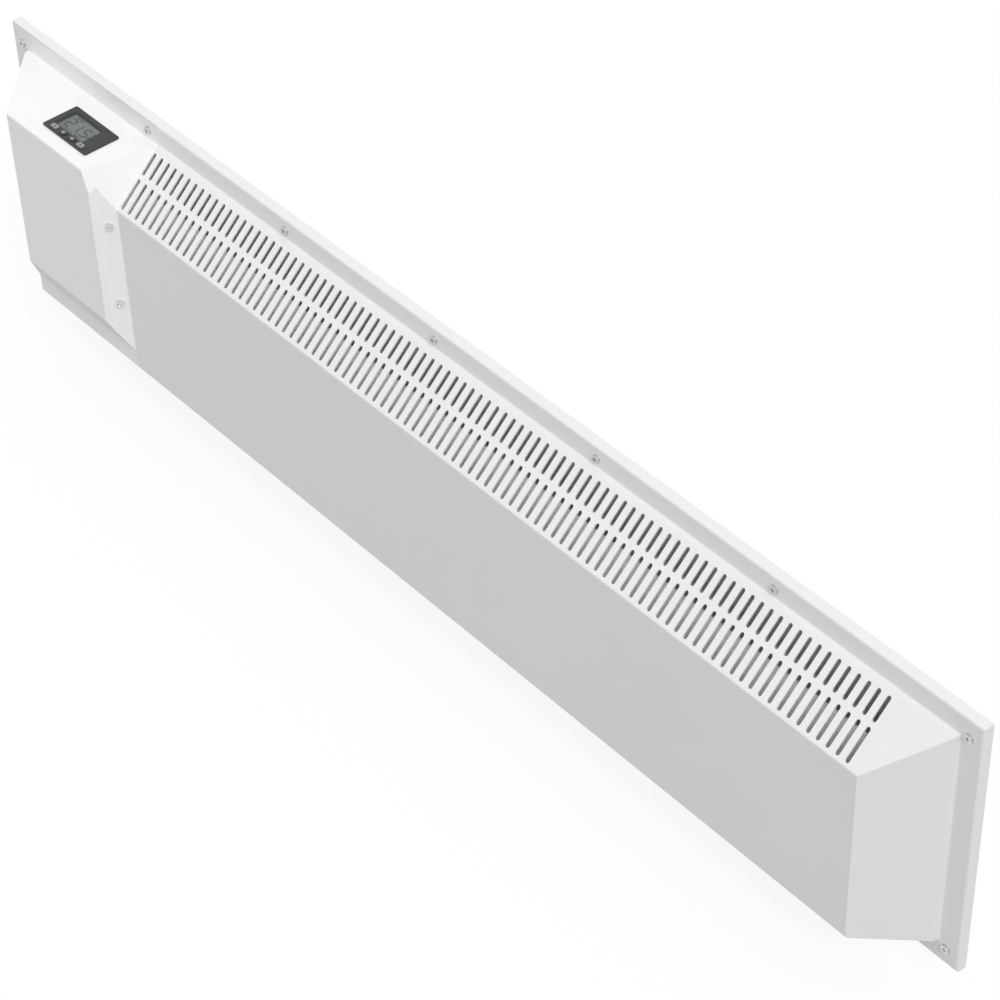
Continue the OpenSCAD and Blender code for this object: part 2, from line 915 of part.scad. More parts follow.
// Glass and light guide in one block on the board
module lcd_panel() {
    color([0.5, 0.56, 0.52])
        at_bezel()
            translate([lcd_mid.x, lcd_mid.y, board_z])
                linear_extrude(-board_z - bezel_plate - fit)
                    square([lcd_l + 2 * lcd_border, lcd_w + 2 * lcd_border], center = true);
}

// A key: the cap, a collar that keeps it in, and the stem over its switch
module key(k) {
    stem_d = 3;
    stem_z = board_z + switch_size.z + plunger_h + key_travel + switch_gap;
    at_key(k) {
        translate([0, 0, collar_z])
            rounded_plate(key_l, key_w, key_corner, bezel_t + key_proud - collar_z);
        translate([0, 0, collar_z])
            linear_extrude(collar_h)
                square([key_l + 2 * collar_lap, key_w], center = true);
        translate([0, 0, stem_z])
            cylinder(d = stem_d, h = collar_z - stem_z + fit);
    }
}

module key_down() {
    color("darkgray")
        key(0);
}

module key_menu() {
    color("dimgray")
        key(1);
}

module key_mode() {
    color("dimgray")
        key(2);
}

module key_up() {
    color("darkgray")
        key(3);
}

module display_board() {
    color("darkgreen")
        difference() {
            at_bezel()
                translate([0, 0, board_z - board_t])
                    linear_extrude(board_t)
                        square([
                            plug_l - 2 * bezel_wall - 2 * gap, plug_w - 2 * bezel_wall - 2 * gap
                        ], center = true);
            at_posts(board_z - board_t - over)
                cylinder(d = post_bore + 2 * gap, h = board_t + 2 * over);
        }
}

// A switch body stands on the board below each key
module tact_switches() {
    plunger_d = 2.4;
    color([0.15, 0.15, 0.16])
        for (k = [0:3])
            at_key(k)
                translate([0, 0, board_z]) {
                    linear_extrude(switch_size.z)
                        square([switch_size.x, switch_size.y], center = true);
                    cylinder(d = plunger_d, h = switch_size.z + plunger_h);
                }
}

// A screw with a cross recess: its head stands on z = 0 and its core goes down
module screw(d, head_d, head_h, l) {
    recess = [head_d / 2, head_d / 7, head_h];
    difference() {
        union() {
            cylinder(d = head_d, h = head_h);
            translate([0, 0, -l])
                cylinder(d = d, h = l + fit);
        }
        for (a = [0, 90])
            rotate([0, 0, a])
                translate([-recess.x / 2, -recess.y / 2, head_h / 2])
                    cube(recess);
    }
}

module board_screws() {
    head_d = 2.9;
    head_h = 1.2;
    color("silver")
        at_posts(board_z - board_t)
            rotate([180, 0, 0])
                screw(post_bore - 2 * fit, head_d, head_h, board_t + post_bore_l - over);
}

module power_board() {
    color("darkgreen")
        difference() {
            translate([power_x, power_face, power_z])
                cube([power_l, board_t, power_h]);
            for (p = power_corners)
                round_y(p, power_face - over, power_y + over, fixing_d + 2 * gap);
        }
}

module board_pillars() {
    pillar_d = 6;
    color("gainsboro")
        for (p = power_corners)
            difference() {
                round_y(p, power_y, tray_face, pillar_d);
                round_y(p, power_y - over, power_y + pillar_bore_l, fixing_d + 2 * fit);
            }
}

module relay() {
    size = [19, 15, 15];
    color([0.12, 0.16, 0.3])
        translate([power_x + 66, power_face - size.y, power_z + 28])
            cube(size);
}

// Moulded small transformer: a core with its winding block
module transformer() {
    core = [28, 20, 24];
    winding = 4;
    color([0.75, 0.62, 0.3])
        translate([power_x + 22, power_face - core.y, power_z + 18]) {
            cube(core);
            translate([-winding, winding, winding])
                cube([core.x + 2 * winding, core.y - winding, core.z - 2 * winding]);
        }
}

// Three poles, each with a screw shaft over a tunnel for the wire from below
module terminal_block() {
    front = tray_face - block_size.y;
    shaft_d = 5.6;
    core_l = 10;
    tunnel_d = 4;
    tunnel_y = front + 11;
    color("ivory")
        difference() {
            translate([block_x - block_size.x / 2, front, block_z - block_size.z / 2])
                cube(block_size);
            for (k = [0:block_poles - 1]) {
                x = block_x + (k - (block_poles - 1) / 2) * pole_pitch;
                round_y([x, block_z], front - over, front + shaft_l, shaft_d);
                round_y([x, block_z], front, front + core_l, screw_d);
                translate([x, tunnel_y, block_z - block_size.z / 2 - over])
                    cylinder(d = tunnel_d, h = block_size.z + 2 * over);
            }
            for (side = [-1, 1]) {
                round_y([block_x + side * block_fix_x, block_z], front - over, over, fixing_d + 2 * hole_gap);
                round_y([block_x + side * block_fix_x, block_z], front - over, tray_face - block_floor,
                        2 * fixing_d + 2 * gap);
            }
        }
}

module terminal_screws() {
    head_d = 5;
    head_h = 2;
    core_l = 4;
    color("goldenrod")
        for (k = [0:block_poles - 1])
            translate([
                block_x + (k - (block_poles - 1) / 2) * pole_pitch,
                tray_face - block_size.y + shaft_l, block_z
            ])
                rotate([90, 0, 0])
                    screw(screw_d - 2 * fit, head_d, head_h, core_l);
}

// Threaded stud on the tray with a plain washer and two nuts
module earth_stud() {
    stud_d = 4;
    stud_l = 16;
    washer_d = 9;
    washer_h = 1;
    nut_d = 8;
    nut_h = 3.2;
    color("goldenrod")
        translate([earth_x, tray_face, earth_z])
            rotate([90, 0, 0]) {
                cylinder(d = stud_d, h = stud_l);
                cylinder(d = washer_d, h = washer_h);
                for (z = [washer_h, stud_l / 2])
                    translate([0, 0, z])
                        cylinder(d = nut_d, h = nut_h, $fn = 6);
            }
}

// Saddle over the cable's path, with a screwed foot on each side
module cable_clamp() {
    length = 12;
    foot = 14;
    out = 6.5;
    inside = 4.5;
    height = 11;
    color([0.15, 0.15, 0.16])
        difference() {
            translate([0, tray_face, entry_z])
                along_x(clamp_x - length / 2, clamp_x + length / 2)
                    polygon([
                        [0, -foot], [-clamp_t, -foot], [-clamp_t, -out], [-height, -out],
                        [-height, out], [-clamp_t, out], [-clamp_t, foot], [0, foot],
                        [0, inside], [clamp_t - height, inside], [clamp_t - height, -inside], [0, -inside]
                    ]);
            for (side = [-1, 1])
                round_y([clamp_x, entry_z + side * clamp_fix_z], tray_face - clamp_t - over, over,
                        fixing_d + 2 * hole_gap);
        }
}

// A rubber ring in the tray: z = 0 is the tray's back, and a flange grips its front
module cable_grommet() {
    rim = 2.5;
    rim_t = 2;
    color([0.1, 0.1, 0.1])
        translate([entry_x, 0, entry_z])
            rotate([90, 0, 0])
                rotate_extrude()
                    polygon([
                        [grommet_d / 2, 0], [entry_d / 2 - fit, 0], [entry_d / 2 - fit, plate],
                        [entry_d / 2 + rim, plate], [entry_d / 2 + rim, plate + rim_t],
                        [grommet_d / 2 + rim_t, grommet_l], [grommet_d / 2, grommet_l]
                    ]);
}

// A rubber ring that grips both faces of the bulkhead around the leads
module wire_grommet() {
    bore = 8;
    rim = 1.6;
    hole = wire_hole_d - 2 * fit;
    color([0.1, 0.1, 0.1])
        translate([bulk_x, wire_y, element_z])
            rotate([0, 90, 0])
                rotate_extrude()
                    polygon([
                        [bore / 2, -rim], [hole / 2 + rim, -rim], [hole / 2 + rim, 0], [hole / 2, 0],
                        [hole / 2, plate], [hole / 2 + rim, plate], [hole / 2 + rim, plate + rim],
                        [bore / 2, plate + rim]
                    ]);
}

// Round wire along straight runs, with a turn of radius r at each inner point
module wire(points, d, r) {
    n = len(points) - 1;
    runs = [for (i = [0:n - 1]) unit(points[i + 1] - points[i])];
    trims = [for (i = [0:n]) i == 0 || i == n ? 0 : r * tan(acos(runs[i - 1] * runs[i]) / 2)];
    for (i = [0:n - 1])
        translate(points[i] + runs[i] * trims[i])
            rotate([0, acos(runs[i].z), atan2(runs[i].y, runs[i].x)])
                cylinder(d = d, h = norm(points[i + 1] - points[i]) - trims[i] - trims[i + 1]);
    for (i = [1:n - 1]) {
        a = runs[i - 1];
        b = runs[i];
        out = unit(a * (a * b) - b);
        centre = points[i] - a * trims[i] - out * r;
        axis = cross(out, a);
        multmatrix([
            [out.x, a.x, axis.x, centre.x],
            [out.y, a.y, axis.y, centre.y],
            [out.z, a.z, axis.z, centre.z],
            [0, 0, 0, 1]
        ])
            rotate_extrude(angle = acos(a * b))
                translate([r, 0])
                    circle(d = d);
    }
}

// Crimped sleeve over the element's pin that ends at x; side is the way that the pin points
module pin_sleeve(x, side) {
    grip = 6;
    wall = 1;
    x0 = side > 0 ? x - grip : x - lead_d;
    x1 = side > 0 ? x + lead_d : x + grip;
    difference() {
        round_x([element_y, element_z], x0, x1, pin_d + 2 * wall);
        round_x([element_y, element_z], side > 0 ? x0 - over : x, side > 0 ? x : x1 + over, pin_d + 2 * fit);
    }
}

module near_lead() {
    pin_x = bracket_x[0] - rod_over - pin_l;
    from_x = power_x + power_l - lead_in;
    color("firebrick") {
        wire([
            [from_x, power_face, lead_low], [from_x, element_y, lead_low], [lead_drop_x, element_y, lead_low],
            [lead_drop_x, element_y, element_z], [pin_x, element_y, element_z]
        ], lead_d, lead_turn);
        pin_sleeve(pin_x, -1);
    }
}

// The far lead runs behind the element, low on the tray, and comes back to the far pin
module far_lead() {
    pin_x = bracket_x[2] + rod_over + pin_l;
    from_x = power_x + power_l - lead_in;
    near_y = wire_y + 2;
    drop_x = lead_drop_x + 3 * lead_d;
    turn_x = bulk_x + 3 * lead_turn;
    end_x = pin_x + 3 * lead_turn;
    color("steelblue") {
        wire([
            [from_x, power_face, lead_low + lead_rise], [from_x, near_y, lead_low + lead_rise],
            [drop_x, near_y, lead_low + lead_rise], [drop_x, near_y, element_z],
            [turn_x, near_y, element_z], [turn_x, near_y, run_z], [turn_x, run_y, run_z],
            [end_x, run_y, run_z], [end_x, element_y, run_z], [end_x, element_y, element_z],
            [pin_x, element_y, element_z]
        ], lead_d, lead_turn);
        pin_sleeve(pin_x, 1);
    }
}

// Saddles that hold the far lead to the tray
module lead_clips() {
    length = 8;
    base = 6;
    wall = 1.5;
    reach = lead_d / 2 + wall;
    color("ivory")
        for (i = [0:1], part = [0.3, 0.7]) {
            x = bracket_x[i] + part * (bracket_x[i + 1] - bracket_x[i]);
            difference() {
                union() {
                    translate([x, tray_face - wall, run_z - base])
                        cube([length, wall, 2 * base]);
                    translate([x, run_y - reach, run_z - reach])
                        cube([length, tray_face - run_y + reach, 2 * reach]);
                }
                round_x([run_y, run_z], x - over, x + length + over, lead_d + 2 * gap);
            }
        }
}

// Flat lead from the display board down to its plug on the power board
module display_lead() {
    width = 10;
    shift = 24;
    lead_t = 1;
    rise = 6;
    drop = 10;
    plug = [14, 6, 6];
    x = bezel_mid.x - shift;
    from_z = bezel_mid.z + board_z - board_t;
    plug_z = power_z + power_h - plug.z - over;
    color("gray") {
        along_x(x, x + width)
            polygon(folded([
                [power_face - plug.y / 2, plug_z + plug.z - fit],
                [power_face - plug.y / 2, plug_z + plug.z + rise],
                [bezel_mid.y, from_z - drop], [bezel_mid.y, from_z]
            ], lead_t));
        translate([x + (width - plug.x) / 2, power_face - plug.y, plug_z])
            cube(plug);
    }
}

// Bead of the room sensor on its clip, on the cool side of the bulkhead
module room_sensor() {
    base = [14, 10, 2];
    neck = [10, 3, 6];
    bead_d = 5;
    color("black")
        translate([bulk_x, sensor_y, sensor_z])
            rotate([0, -90, 0]) {
                linear_extrude(base.z)
                    square([base.x, base.y], center = true);
                linear_extrude(neck.z)
                    square([neck.x, neck.y], center = true);
                translate([-base.x / 2, 0, neck.z])
                    rotate([0, 90, 0])
                        cylinder(d = bead_d, h = base.x);
            }
}

module flange_screws() {
    color("lightgray")
        for (p = flange_screw_places)
            translate([p.x, face_y, p.y])
                rotate([90, 0, 0])
                    screw(screw_d, screw_head_d, screw_head_h, screw_l);
}

module cover_screws() {
    color("lightgray")
        at_cover_screws()
            screw(screw_d, screw_head_d, screw_head_h, screw_l);
}

// A small screw that points to the wall, with its head on a face at depth y
module fixing_screw(p, y, l) {
    head_h = 2;
    translate([p.x, y, p.y])
        rotate([90, 0, 0])
            screw(fixing_d, 2 * fixing_d, head_h, l);
}

module fixing_screws() {
    foot_screw_l = 2 * plate - gap;
    color("silver") {
        for (x = bracket_x, side = [-1, 1])
            fixing_screw([x + foot_mid, element_z + side * bracket_screw_z], tray_face - plate,
                         foot_screw_l);
        for (side = [-1, 1]) {
            fixing_screw([bulk_x + foot_mid, side * bulk_screw_z], tray_face - plate, foot_screw_l);
            fixing_screw([block_x + side * block_fix_x, block_z], tray_face - block_floor,
                         block_floor + plate - gap);
            fixing_screw([clamp_x, entry_z + side * clamp_fix_z], tray_face - clamp_t,
                         clamp_t + plate - gap);
        }
        for (x = bracket_x)
            fixing_screw([x + bracket_tab / 2, element_z], baffle_y - baffle_t, baffle_t + plate + over);
        for (p = power_corners)
            fixing_screw(p, power_face, board_t + pillar_bore_l - over);
    }
}

front_panel();
outlet_grille();
right_end();
left_end();
control_cover();
back_tray();
bulkhead();
heating_element();
element_brackets();
insulating_bushes();
front_baffle();
overheat_cutout();
display_bezel();
display_window();
lcd_panel();
key_down();
key_menu();
key_mode();
key_up();
display_board();
tact_switches();
board_screws();
power_board();
board_pillars();
relay();
transformer();
terminal_block();
terminal_screws();
earth_stud();
cable_clamp();
cable_grommet();
wire_grommet();
near_lead();
far_lead();
lead_clips();
display_lead();
room_sensor();
flange_screws();
cover_screws();
fixing_screws();
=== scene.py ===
"""Skirting heater: finishes, printed marks, board parts, short leads and studio on its frame.

Lengths are in metres in the part's own frame: X along the heater to the right, Y into the
wall and Z up, from the middle of the four wall fixings.
"""

import json
import logging
import math
from dataclasses import dataclass, field
from enum import Enum

import bpy
from mathutils import Matrix, Quaternion, Vector


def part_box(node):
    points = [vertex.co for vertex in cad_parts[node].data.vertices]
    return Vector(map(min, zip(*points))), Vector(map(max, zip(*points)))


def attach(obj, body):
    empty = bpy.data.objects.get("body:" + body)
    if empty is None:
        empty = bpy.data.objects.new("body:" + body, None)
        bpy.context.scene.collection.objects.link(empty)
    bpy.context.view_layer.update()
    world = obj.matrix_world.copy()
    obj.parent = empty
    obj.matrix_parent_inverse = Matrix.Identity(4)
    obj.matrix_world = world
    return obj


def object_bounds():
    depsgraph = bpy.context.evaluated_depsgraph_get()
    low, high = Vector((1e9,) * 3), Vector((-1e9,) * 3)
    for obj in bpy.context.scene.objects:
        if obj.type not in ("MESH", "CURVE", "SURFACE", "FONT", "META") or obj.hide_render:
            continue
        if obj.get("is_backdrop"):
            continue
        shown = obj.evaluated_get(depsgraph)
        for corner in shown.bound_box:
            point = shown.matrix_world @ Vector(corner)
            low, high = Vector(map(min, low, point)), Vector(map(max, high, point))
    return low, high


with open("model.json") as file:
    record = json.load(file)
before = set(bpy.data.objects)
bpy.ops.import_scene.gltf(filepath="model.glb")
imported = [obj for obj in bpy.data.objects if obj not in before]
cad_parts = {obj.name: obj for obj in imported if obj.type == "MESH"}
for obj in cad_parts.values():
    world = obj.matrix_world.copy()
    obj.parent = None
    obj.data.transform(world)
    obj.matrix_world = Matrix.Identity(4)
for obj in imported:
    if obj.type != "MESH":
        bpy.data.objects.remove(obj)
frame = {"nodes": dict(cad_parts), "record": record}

log = logging.getLogger("skirting_heater")

Pair = tuple[float, float]
Tone = tuple[float, float, float]
Point = tuple[float, float, float]
Piece = bpy.types.Object
Socket = bpy.types.NodeSocket
# Height, tone and gloss, all from 0 to 1
Skin = tuple[Socket, Socket, Socket]
MM = 0.001
PIXELS = 1000
SENSOR = 36.0
UP = Vector((0.0, 0.0, 1.0))
OUT = Vector((0.0, -1.0, 0.0))
# Vertices closer than this are one
MERGE = 1e-7
# Steps of a full turn in a turned piece
TURN_STEPS = 24
# Order of a lead's curve, its steps from point to point, and the bevel that makes it round
LEAD_ORDER = 4
LEAD_STEPS = 6
LEAD_BEVEL = 3
# Repeats per metre of the patterns that keep one size on every finish
CLOUDS = 7.0
SHEEN = 31.0
WARP = 60.0
FLOW = 90.0
PATCHES = 160.0
MASK = 400.0
TAPE = 500.0
# The two colour sockets of a Mix node
MIX_A = 6
MIX_B = 7
BUMP_STRENGTH = 0.6
COAT_ROUGHNESS = 0.12


class Effect(Enum):
    """The surface effects that finishes share."""

    POWDER = "powder_skin"
    SPANGLE = "zinc_spangle"
    DRAWN = "drawn_metal"
    MOULDED = "moulded_grain"
    TRACKS = "board_tracks"
    BANDS = "wound_bands"


@dataclass
class Graph:
    """A node tree with short calls for its nodes and links."""

    tree: bpy.types.NodeTree

    def node(
        self, kind: str, settings: dict[str, object] | None = None, **inputs: object
    ) -> bpy.types.Node:
        """Adds a node.

        Args:
            kind: the node's type without its ShaderNode prefix.
            settings: properties of the node.
            inputs: sockets by name, with _ for a space; a value is set and a socket is linked.

        Returns:
            The new node.
        """
        made = self.tree.nodes.new(f"ShaderNode{kind}")
        for name, value in (settings or {}).items():
            setattr(made, name, value)
        for name, value in inputs.items():
            self.feed(made.inputs[name.replace("_", " ")], value)
        return made

    def feed(self, socket: Socket, value: object) -> None:
        """Links a socket to an output, or sets its value.

        Args:
            socket: the input socket.
            value: an output to link, or a value to set.
        """
        if isinstance(value, Socket):
            self.tree.links.new(value, socket)
        else:
            socket.default_value = value

    def maths(self, operation: str, first: object, second: object) -> Socket:
        """Adds a Math node.

        Args:
            operation: its operation.
            first: an output or a number.
            second: an output or a number.

        Returns:
            The node's output.
        """
        made = self.node("Math", {"operation": operation})
        self.feed(made.inputs[0], first)
        self.feed(made.inputs[1], second)
        return made.outputs[0]

    def spread(self, value: Socket, low: float = 0.3, high: float = 0.7) -> Socket:
        """Spreads the part of a noise from low to high over 0 to 1, and clamps it."""
        made = self.node("MapRange", {"clamp": True}, Value=value, From_Min=low, From_Max=high)
        return made.outputs["Result"]

    def noise(self, vector: object, scale: object, detail: float = 2.0) -> Socket:
        """Adds a noise with its repeats per metre and returns its factor."""
        made = self.node("TexNoise", Vector=vector, Scale=scale, Detail=detail)
        return made.outputs[0]

    def blend(self, first: object, second: object, share: float) -> Socket:
        """Adds two values by their shares.

        Args:
            first: the value that has the rest of the share.
            second: the value that has the share.
            share: the second value's share of 1.

        Returns:
            The sum.
        """
        most = self.maths("MULTIPLY", first, 1.0 - share)
        rest = self.maths("MULTIPLY", second, share)
        return self.maths("ADD", most, rest)


class EffectShop:
    """Builds each shared effect once, as a node group with the same sockets."""

    def __init__(self) -> None:
        """Starts with no group made."""
        self.made: dict[Effect, bpy.types.NodeTree] = {}

    def group(self, effect: Effect) -> bpy.types.NodeTree:
        """Gives the group of an effect, which is built the first time.

        Args:
            effect: the effect.

        Returns:
            Its group.
        """
        if effect not in self.made:
            self.made[effect] = self.build(effect)
        return self.made[effect]

    def build(self, effect: Effect) -> bpy.types.NodeTree:
        """Builds the group of an effect.

        Args:
            effect: the effect.

        Returns:
            The group, from Vector and Size to Height, Tone and Gloss, all from 0 to 1.
        """
        tree = bpy.data.node_groups.new(effect.value, "ShaderNodeTree")
        face = tree.interface
        face.new_socket("Vector", in_out="INPUT", socket_type="NodeSocketVector")
        face.new_socket("Size", in_out="INPUT", socket_type="NodeSocketFloat")
        for name in ("Height", "Tone", "Gloss"):
            face.new_socket(name, in_out="OUTPUT", socket_type="NodeSocketFloat")
        graph = Graph(tree)
        start = tree.nodes.new("NodeGroupInput")
        end = tree.nodes.new("NodeGroupOutput")
        scale = graph.maths("DIVIDE", 1.0, start.outputs["Size"])
        makers = {
            Effect.POWDER: self.powder,
            Effect.SPANGLE: self.spangle,
            Effect.DRAWN: self.drawn,
            Effect.MOULDED: self.moulded,
            Effect.TRACKS: self.tracks,
            Effect.BANDS: self.bands,
        }
        height, tone, gloss = makers[effect](graph, start.outputs["Vector"], scale)
        graph.feed(end.inputs["Height"], height)
        graph.feed(end.inputs["Tone"], tone)
        graph.feed(end.inputs["Gloss"], gloss)
        return tree

    def powder(self, graph: Graph, vector: Socket, scale: Socket) -> Skin:
        """Orange peel with a fine tooth, faint clouds of tone and patches of sheen.

        Args:
            graph: the graph of the effect.
            vector: where it is read.
            scale: its repeats per metre.

        Returns:
            Its height, tone and gloss.
        """
        peel = graph.noise(vector, scale, 2.0)
        tooth = graph.noise(vector, graph.maths("MULTIPLY", scale, 5.0), 1.0)
        clouds = graph.spread(graph.noise(vector, CLOUDS, 3.0))
        sheen = graph.spread(graph.noise(vector, SHEEN, 4.0))
        return graph.blend(peel, tooth, 0.2), clouds, sheen

    def spangle(self, graph: Graph, vector: Socket, scale: Socket) -> Skin:
        """Crystals of zinc with their own tones, and a fine rolled surface.

        Args:
            graph: the graph of the effect.
            vector: where it is read.
            scale: its repeats per metre.

        Returns:
            Its height, tone and gloss.
        """
        warp = graph.node("TexNoise", Vector=vector, Scale=WARP, Detail=2.0)
        moved = graph.node("VectorMath", {"operation": "MULTIPLY_ADD"})
        graph.feed(moved.inputs[0], warp.outputs["Color"])
        graph.feed(moved.inputs[1], (6 * MM,) * 3)
        graph.feed(moved.inputs[2], vector)
        cells = graph.node("TexVoronoi", Vector=moved.outputs[0], Scale=scale)
        split = graph.node("SeparateColor", Color=cells.outputs["Color"])
        fine = graph.noise(vector, graph.maths("MULTIPLY", scale, 14.0), 2.0)
        tone = graph.blend(split.outputs[0], fine, 0.2)
        height = graph.blend(split.outputs[1], fine, 0.6)
        return height, tone, split.outputs[2]

    def drawn(self, graph: Graph, vector: Socket, scale: Socket) -> Skin:
        """Fine drawn or turned lines over faint dull patches.

        Args:
            graph: the graph of the effect.
            vector: where it is read.
            scale: its repeats per metre.

        Returns:
            Its height, tone and gloss.
        """
        stretch = graph.node("Mapping", Vector=vector, Scale=(1.0, 9.0, 9.0))
        lines = graph.noise(stretch.outputs[0], scale, 3.0)
        patches = graph.spread(graph.noise(vector, PATCHES, 3.0))
        return lines, graph.spread(lines, 0.25, 0.75), patches

    def moulded(self, graph: Graph, vector: Socket, scale: Socket) -> Skin:
        """Spark-eroded grain of a moulding, with faint flow clouds.

        Args:
            graph: the graph of the effect.
            vector: where it is read.
            scale: its repeats per metre.

        Returns:
            Its height, tone and gloss.
        """
        grain = graph.node("TexVoronoi", {"feature": "SMOOTH_F1"}, Vector=vector, Scale=scale)
        flow = graph.spread(graph.noise(vector, FLOW, 3.0))
        return grain.outputs["Distance"], flow, graph.spread(graph.noise(vector, scale, 2.0))

    def tracks(self, graph: Graph, vector: Socket, scale: Socket) -> Skin:
        """Copper tracks that show as lighter lines through solder mask.

        Args:
            graph: the graph of the effect.
            vector: where it is read.
            scale: its repeats per metre.

        Returns:
            Its height, tone and gloss.
        """
        cells = graph.node("TexVoronoi", {"distance": "CHEBYCHEV"}, Vector=vector, Scale=scale)
        lines = graph.node("Math", {"operation": "PINGPONG"})
        graph.feed(lines.inputs[0], cells.outputs["Distance"])
        graph.feed(lines.inputs[1], 0.09)
        raised = graph.spread(lines.outputs[0], 0.04, 0.05)
        return raised, raised, graph.noise(vector, MASK, 2.0)

    def bands(self, graph: Graph, vector: Socket, scale: Socket) -> Skin:
        """Even bands across Z, as of laminations, tape or ribbed rubber.

        Args:
            graph: the graph of the effect.
            vector: where it is read.
            scale: its repeats per metre.

        Returns:
            Its height, tone and gloss.
        """
        kind = {"bands_direction": "Z", "wave_profile": "SIN"}
        wave = graph.node("TexWave", kind, Vector=vector, Scale=scale).outputs["Fac"]
        return wave, graph.spread(wave, 0.2, 0.8), graph.noise(vector, TAPE, 2.0)


@dataclass(frozen=True)
class Finish:
    """One finish: two near tones, a range of roughness and an effect at its real size."""

    light: Tone
    dark: Tone
    effect: Effect
    size: float
    rough: Pair
    bump: float
    metallic: float = 0.0
    coat: float = 0.0
    alpha: float = 1.0

    def build(self, name: str, shop: EffectShop) -> bpy.types.Material:
        """Makes the material.

        Args:
            name: the material's name.
            shop: where the effect's group comes from.

        Returns:
            The material.
        """
        material = bpy.data.materials.new(name)
        material.use_nodes = True
        material.diffuse_color = (*self.light, 1.0)
        graph = Graph(material.node_tree)
        shader = material.node_tree.nodes["Principled BSDF"]
        place = graph.node("TexCoord").outputs["Object"]
        skin = graph.node("Group", {"node_tree": shop.group(self.effect)}, Vector=place, Size=self.size)
        mix = graph.node("Mix", {"data_type": "RGBA"})
        graph.feed(mix.inputs["Factor"], skin.outputs["Tone"])
        graph.feed(mix.inputs[MIX_A], (*self.dark, 1.0))
        graph.feed(mix.inputs[MIX_B], (*self.light, 1.0))
        graph.feed(shader.inputs["Base Color"], mix.outputs[2])
        low, high = self.rough
        rough = graph.node("MapRange", Value=skin.outputs["Gloss"], To_Min=low, To_Max=high)
        graph.feed(shader.inputs["Roughness"], rough.outputs["Result"])
        bump = graph.node("Bump", Strength=BUMP_STRENGTH, Distance=self.bump, Height=skin.outputs["Height"])
        graph.feed(shader.inputs["Normal"], bump.outputs["Normal"])
        shader.inputs["Metallic"].default_value = self.metallic
        shader.inputs["Coat Weight"].default_value = self.coat
        shader.inputs["Coat Roughness"].default_value = COAT_ROUGHNESS
        shader.inputs["Alpha"].default_value = self.alpha
        return material


def grey(level: float) -> Tone:
    """Returns a neutral tone."""
    return (level, level, level)


def moulding(light: Tone, dark: Tone, size: float, rough: Pair, bump: float = 0.02 * MM) -> Finish:
    """Returns the finish of a moulded or fired piece."""
    return Finish(light, dark, Effect.MOULDED, size, rough, bump)


def metal(light: Tone, dark: Tone, size: float, rough: Pair, bump: float = 0.02 * MM) -> Finish:
    """Returns the finish of bare metal."""
    return Finish(light, dark, Effect.DRAWN, size, rough, bump, metallic=1.0)


